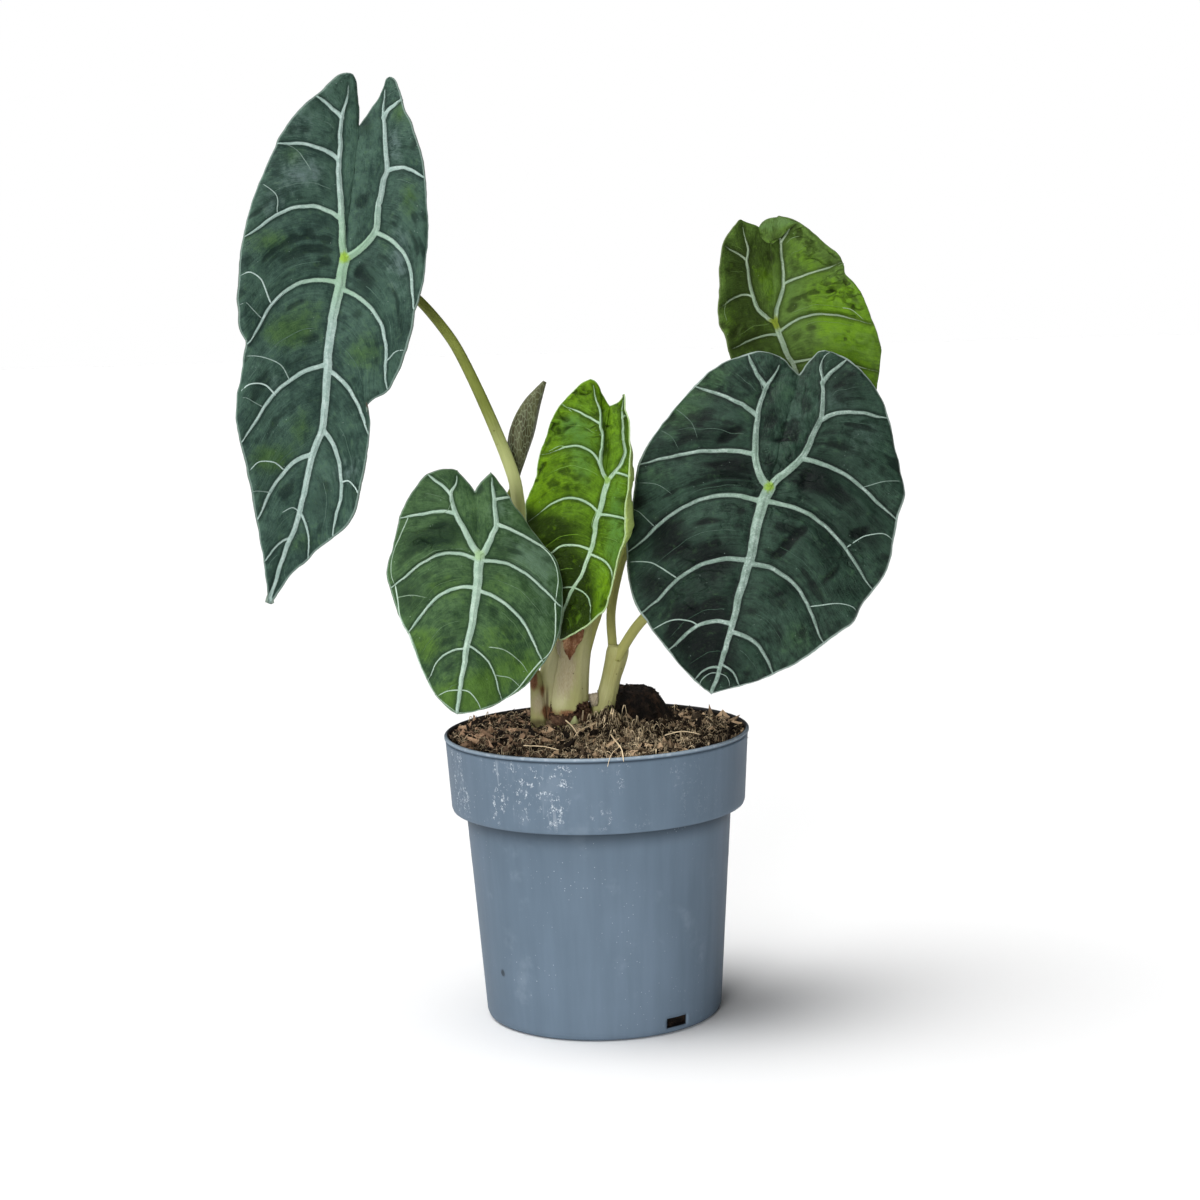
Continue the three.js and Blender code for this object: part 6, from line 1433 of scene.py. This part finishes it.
# Fibres: thin bent threads of three sides that lie on the soil and lift here and there.
def fibreShape(count, long, thick, seed, steps=7, within=None, lifted=0.7, dull=1.6):
    random = np.random.default_rng(seed)
    x, y, _ = onSoil(random, count)
    if within:
        x, y = random.normal(within[0], within[2], count), random.normal(within[1], within[3], count)
    keep = random.uniform(0, 1, count) > 1.6 * onMound(x, y)
    x, y, count = x[keep], y[keep], keep.sum()
    heading = random.uniform(0, 2 * np.pi, count)
    length = long * random.uniform(0.3, 1, count)
    bend = random.normal(0, 1.1, count)
    t = np.linspace(-0.5, 0.5, steps)
    a = heading[:, None] + bend[:, None] * t
    px = x[:, None] + length[:, None] * t * np.cos(a)
    py = y[:, None] + length[:, None] * t * np.sin(a)
    r = np.hypot(px, py)
    inside = np.minimum(1, 58 / np.maximum(r, 1e-6))
    px, py = px * inside, py * inside
    lift = (random.exponential(lifted, count)[:, None] * (1 - (2 * t) ** 2) + 0.35
            + random.uniform(-0.3, 1.2, count)[:, None] * t)
    pz = soilTop(px, py) + np.maximum(lift, -0.1)
    line = np.stack([px, py, pz], -1)
    run = unit(np.gradient(line, axis=1))
    side = unit(np.cross(run, [0, 0, 1]))
    up = np.cross(side, run)
    wide = thick * random.uniform(0.4, 1, count)[:, None] * (1 - 0.6 * (2 * t) ** 2)
    p = np.stack([line + side * (wide * math.cos(turn))[..., None] + up * (wide * math.sin(turn))[..., None]
                  for turn in roundAngles(3)], 2)
    k = np.arange(count * steps * 3).reshape(count, steps, 3)
    k = np.concatenate([k, k[:, :, :1]], 2)
    a, b, c, d = k[:, :-1, :-1], k[:, :-1, 1:], k[:, 1:, 1:], k[:, 1:, :-1]
    faces = np.concatenate([np.stack([a, b, c], -1).reshape(-1, 3), np.stack([a, c, d], -1).reshape(-1, 3),
                            k[:, 0, [2, 1, 0]], k[:, -1, :3]])
    # Fibres on the mound are darker, as painted shade.
    tone = (random.uniform(0, 1, count) ** dull * (0.7 + 0.3 * ramp(x, -25, 10) * ramp(x, 45, 25))
            * (1 - 0.7 * onMound(x, y)))
    return p.reshape(-1, 3) * mm, faces, {"tone": np.repeat(tone, steps * 3), "red": np.repeat(0 * x, steps * 3)}


def chipPaint(name, dark, light, red):
    paint = Paint(name, Specular_IOR_Level=0.15)
    tone = paint.attribute("tone")
    grainy = paint.noise(paint.place(), 500, 4)
    share = (tone + grainy * 0.5 - 0.25).step(0.12, 0.95)
    color = paint.mix(share, dark, paint.mix(paint.attribute("red"), light, red))
    return paint.finish(color, 0.85, grainy, 0.3)


# Two pale roots that hang over the rim: points in millimetres and a radius.
strands = [([(5.5, -24.6, 115.5), (7, -36, 115.2), (8.6, -49, 115.6), (9.4, -57, 115.4), (9.7, -60.2, 113.8),
             (9.9, -60.8, 111.6)], 0.34),
           ([(8.8, -50, 115.4), (6.6, -56, 115.2), (5, -60.1, 113.7), (3.8, -60.7, 110)], 0.14),
           ([(-28, -40, 115), (-20, -46, 115.6), (-14, -52, 115.2)], 0.2),
           ([(-12, -6, 118), (-9, -18, 117.4), (-7, -26, 115.2)], 0.3),
           ([(-1, -14, 117.5), (-6, -22, 117), (-9, -30, 115.4)], 0.25),
           ([(26, -30, 115.4), (33, -26, 116), (40, -28, 115)], 0.25)]


def strandShape(line, radius, steps=40, sides=7):
    place = at(curveOf(line), np.linspace(0, 1, steps))
    run = unit(np.gradient(place, axis=0))
    side = unit(np.cross(run, [0.1, 0.2, 1]))
    up = np.cross(side, run)
    angle = roundAngles(sides)
    thick = radius * (1 - 0.5 * np.linspace(0, 1,
                                            steps) ** 2) * (np.arange(steps) > 0) * (np.arange(steps) < steps - 1)
    ring = side[:, None] * np.cos(angle)[:, None] + up[:, None] * np.sin(angle)[:, None]
    points = place[:, None] + thick[:, None, None] * ring
    points = points.reshape(-1, 3) * mm
    first, number = weld(points)
    faces = whole(number[gridFaces(steps, sides, loop=True)])
    return points[first], faces, {"tone": np.ones(len(first)), "red": np.zeros(len(first))}


points, faces = soilShape()
piece("soil_heap", points, faces, soilPaint("peat", (0.006, 0.004, 0.0028), (0.055, 0.036, 0.024), (0.2, 0.14, 0.09)),
      "potting_soil", ("soil",))
points, faces, values = together([chunkShape(4200, 0.5, 3, soil["seed"]),
                                  chunkShape(12000, 0.2, 1.1, soil["seed"] + 5)])
piece("soil_chunks", points, faces,
      chipPaint("bark", (0.008, 0.0048, 0.0026), (0.5, 0.355, 0.22), (0.34, 0.18, 0.115)),
      "potting_soil", (), values, smooth=False)
fibres = [fibreShape(2400, 7, 0.22, soil["seed"] + 1, 6),
          fibreShape(420, 5, 0.28, soil["seed"] + 2, 6, (5.4, -8, 3, 7), 1.8),
          fibreShape(460, 7, 0.3, soil["seed"] + 3, 6, (26, -18, 12, 12), 1.2)]
fibrePaint = chipPaint("fibre", (0.02, 0.012, 0.006), (0.9, 0.72, 0.47), (0.3, 0.2, 0.1))
points, faces, values = together(fibres + [strandShape(*s) for s in strands])
piece("soil_fibres", points, faces, fibrePaint, "potting_soil", (), values)
points, faces, values = together([fibreShape(4600, 3.6, 0.16, soil["seed"] + 4, 4, None, 0.6, 1.1),
                                  fibreShape(2700, 3.6, 0.18, soil["seed"] + 6, 4, (8, -26, 24, 14), 0.9, 0.7)])
piece("soil_dust", points, faces, fibrePaint, "potting_soil", (), values)
print("soil done")


# Dry sheaths: papery scraps that lie on a stem. A scrap runs from a left edge to a right edge, each listed downwards
# as seen, and stands off the stem more towards its torn edges.
def scrap(stem, left, right, seed, off=0.35, curl=0.5, torn=0.35, rows=36, columns=32, wall=0.18, dry=1.0):
    table = np.array(sheaths[stem], float)[::-1]
    v, u = np.linspace(0, 1, rows)[:, None], np.linspace(0, 1, columns)[None]
    first, last = at(curveOf(left), v[:, 0]), at(curveOf(right), v[:, 0])
    flat = first[:, None] * (1 - u[..., None]) + last[:, None] * u[..., None]
    tear = torn * (cloud(v * 30, u * 30, 2.2, seed) + 0.6 * cloud(v * 30, u * 30, 0.9, seed + 1))
    rim = np.maximum(np.abs(2 * u - 1), np.abs(2 * v - 1)) ** 3
    x = flat[..., 0] + tear * rim * 1.2
    y = flat[..., 1] + torn * rim * 1.4 * cloud(v * 30, u * 30, 1.2, seed + 2)
    centre, depth, radius = (np.interp(-y, -table[::-1, 1][::-1], table[::-1, k][::-1]) for k in (0, 2, 3))
    aside = np.clip((x - centre) / radius, -0.98, 0.98)
    lift = off + curl * rim * (0.6 + cloud(v * 20, u * 20, 3, seed + 3)) + 0.2 * cloud(v * 40, u * 40, 2, seed + 4)
    back = depth - radius * np.sqrt(1 - aside ** 2) - lift
    outer, inner = seen(x, y, back), seen(x, y, back + wall)
    loop = np.concatenate([outer, inner[:, ::-1]], 1)
    closed = np.concatenate([(loop[:1] + loop[:1, ::-1]) / 2, loop, (loop[-1:] + loop[-1:, ::-1]) / 2])
    points = closed.reshape(-1, 3)
    first, number = weld(points)
    faces = whole(number[gridFaces(rows + 2, 2 * columns, loop=True)])
    return points[first], faces, {"dry": np.full(len(first), dry)}


def paperPaint(name, low, high):
    paint = Paint(name, Specular_IOR_Level=0.1)
    place = paint.place()
    streak = paint.noise(paint.scaled(place, (1, 1, 0.16)), 520, 4)
    blotch = paint.noise(place, 260, 4, 0.65)
    crease = (paint.noise(place, 420, 3, 0.6) - 0.5).math("ABSOLUTE").step(0.06, 0.0)
    color = paint.mix((streak * 0.6 + blotch * 0.7 - 0.1).step(0.35, 0.8), low, high)
    color = paint.mix(crease * 0.6, color, low)
    pale = paint.mix((streak * 0.6 + blotch * 0.5).step(0.35, 0.75), (0.44, 0.38, 0.24), (0.6, 0.55, 0.42))
    return paint.finish(paint.mix(paint.attribute("dry"), pale, color), 0.62, streak + blotch, 0.6)


px = lambda *points: fromFrame(points)
tip = [scrap("main", px((563, 640), (563.5, 646), (566, 653), (569, 659)),
             px((584, 629), (582.5, 639), (576, 649), (570, 659)), 21,
             0.5, 0.7, 0.4),
       scrap("left", px((556.5, 643), (557, 650), (560, 657), (564, 662)),
             px((562.5, 638), (564, 645), (566.5, 653), (568, 662)), 25,
             0.9, 0.6, 0.25, dry=0.0)]
points, faces, values = together(tip)
piece("dry_tip", points, faces, paperPaint("dryTip", (0.17, 0.065, 0.028), (0.56, 0.33, 0.19)), "dry_sheath",
      ("sheath_tip",), values)
foot = [scrap("main", px((547, 713), (549, 718), (552, 725)), px((571, 717), (572, 720), (573, 725)), 31, 0.4, 0.9,
              0.7),
        scrap("main", px((569, 715), (570, 719), (573, 724)), px((589, 704), (590, 713), (590, 723)), 35, 0.6, 1.2,
              0.9),
        scrap("main", px((577, 706), (578, 709), (580, 714)), px((588, 703), (589.5, 707), (590, 712)), 37, 0.3, 0.8,
              0.8),
        scrap("right", px((588, 694), (589, 700), (592, 706)), px((598, 692.5), (598, 699), (597, 706)), 45, 1.2, 0.5,
              0.3, dry=0.35),
        scrap("main", px((547, 694), (547.5, 702), (548, 712)), px((550, 690), (551, 702), (552, 712)), 51, 0.4, 0.2,
              0.2)]
points, faces, values = together(foot)
piece("dry_foot", points, faces, paperPaint("dryFoot", (0.03, 0.015, 0.01), (0.2, 0.115, 0.07)), "dry_sheath",
      ("sheath_foot",), values)
print("dry sheaths done")

# Floor and soft studio light
floorMesh = bpy.data.meshes.new("floor")
floorMesh.from_pydata([(-6, -6, 0), (6, -6, 0), (6, 6, 0), (-6, 6, 0)], [], [(0, 1, 2, 3)])
floor = bpy.data.objects.new("floor", floorMesh)
bpy.context.scene.collection.objects.link(floor)
floorPaint = Paint("floor", Roughness=0.9, Specular_IOR_Level=0.0)
floorMesh.materials.append(floorPaint.finish(floorPaint.mix(floorPaint.noise(floorPaint.place(), 3),
                                                            (0.93, 0.93, 0.93), (0.95, 0.95, 0.95))))


# Axes of a lamp that looks along way: its own -Z is the way it shines.
def aimed(way):
    right = unit(np.cross(way, (0, 0, 1)))
    return np.array([right, np.cross(right, way), -way])


sun = bpy.data.lights.new("sun", "SUN")
sun.energy = 2.55
sun.angle = math.radians(24)
lamp = bpy.data.objects.new("sun", sun)
way = np.array([0.25, 0.96, -0.13])
lamp.matrix_world = Matrix([list(v) for v in aimed(way / np.linalg.norm(way)).T]).to_4x4()
bpy.context.scene.collection.objects.link(lamp)

# A soft room, brighter from the upper left in front, and plain white behind the plant
world = bpy.data.worlds.new("studio")
bpy.context.scene.world = world
world.use_nodes = True
sky = world.node_tree
room, output = sky.nodes["Background"], sky.nodes["World Output"]
room.inputs["Color"].default_value = (1, 1, 1, 1)
turned = sky.nodes.new("ShaderNodeTexCoord")
facing = sky.nodes.new("ShaderNodeVectorMath")
facing.operation = "DOT_PRODUCT"
facing.inputs[1].default_value = (-0.3, -0.03, 0.953)
sky.links.new(turned.outputs["Generated"], facing.inputs[0])
strength = sky.nodes.new("ShaderNodeMapRange")
strength.interpolation_type = "SMOOTHSTEP"
for key, value in (("From Min", 0.82), ("From Max", 1.0), ("To Min", 0.04), ("To Max", 6.2)):
    strength.inputs[key].default_value = value
sky.links.new(facing.outputs["Value"], strength.inputs["Value"])
sky.links.new(strength.outputs["Result"], room.inputs["Strength"])
white = sky.nodes.new("ShaderNodeBackground")
white.inputs["Color"].default_value = (1, 1, 1, 1)
white.inputs["Strength"].default_value = 1.0
choice, path = sky.nodes.new("ShaderNodeMixShader"), sky.nodes.new("ShaderNodeLightPath")
sky.links.new(path.outputs["Is Camera Ray"], choice.inputs[0])
sky.links.new(room.outputs["Background"], choice.inputs[1])
sky.links.new(white.outputs["Background"], choice.inputs[2])
sky.links.new(choice.outputs["Shader"], output.inputs["Surface"])
bpy.context.scene.view_settings.view_transform = "Standard"
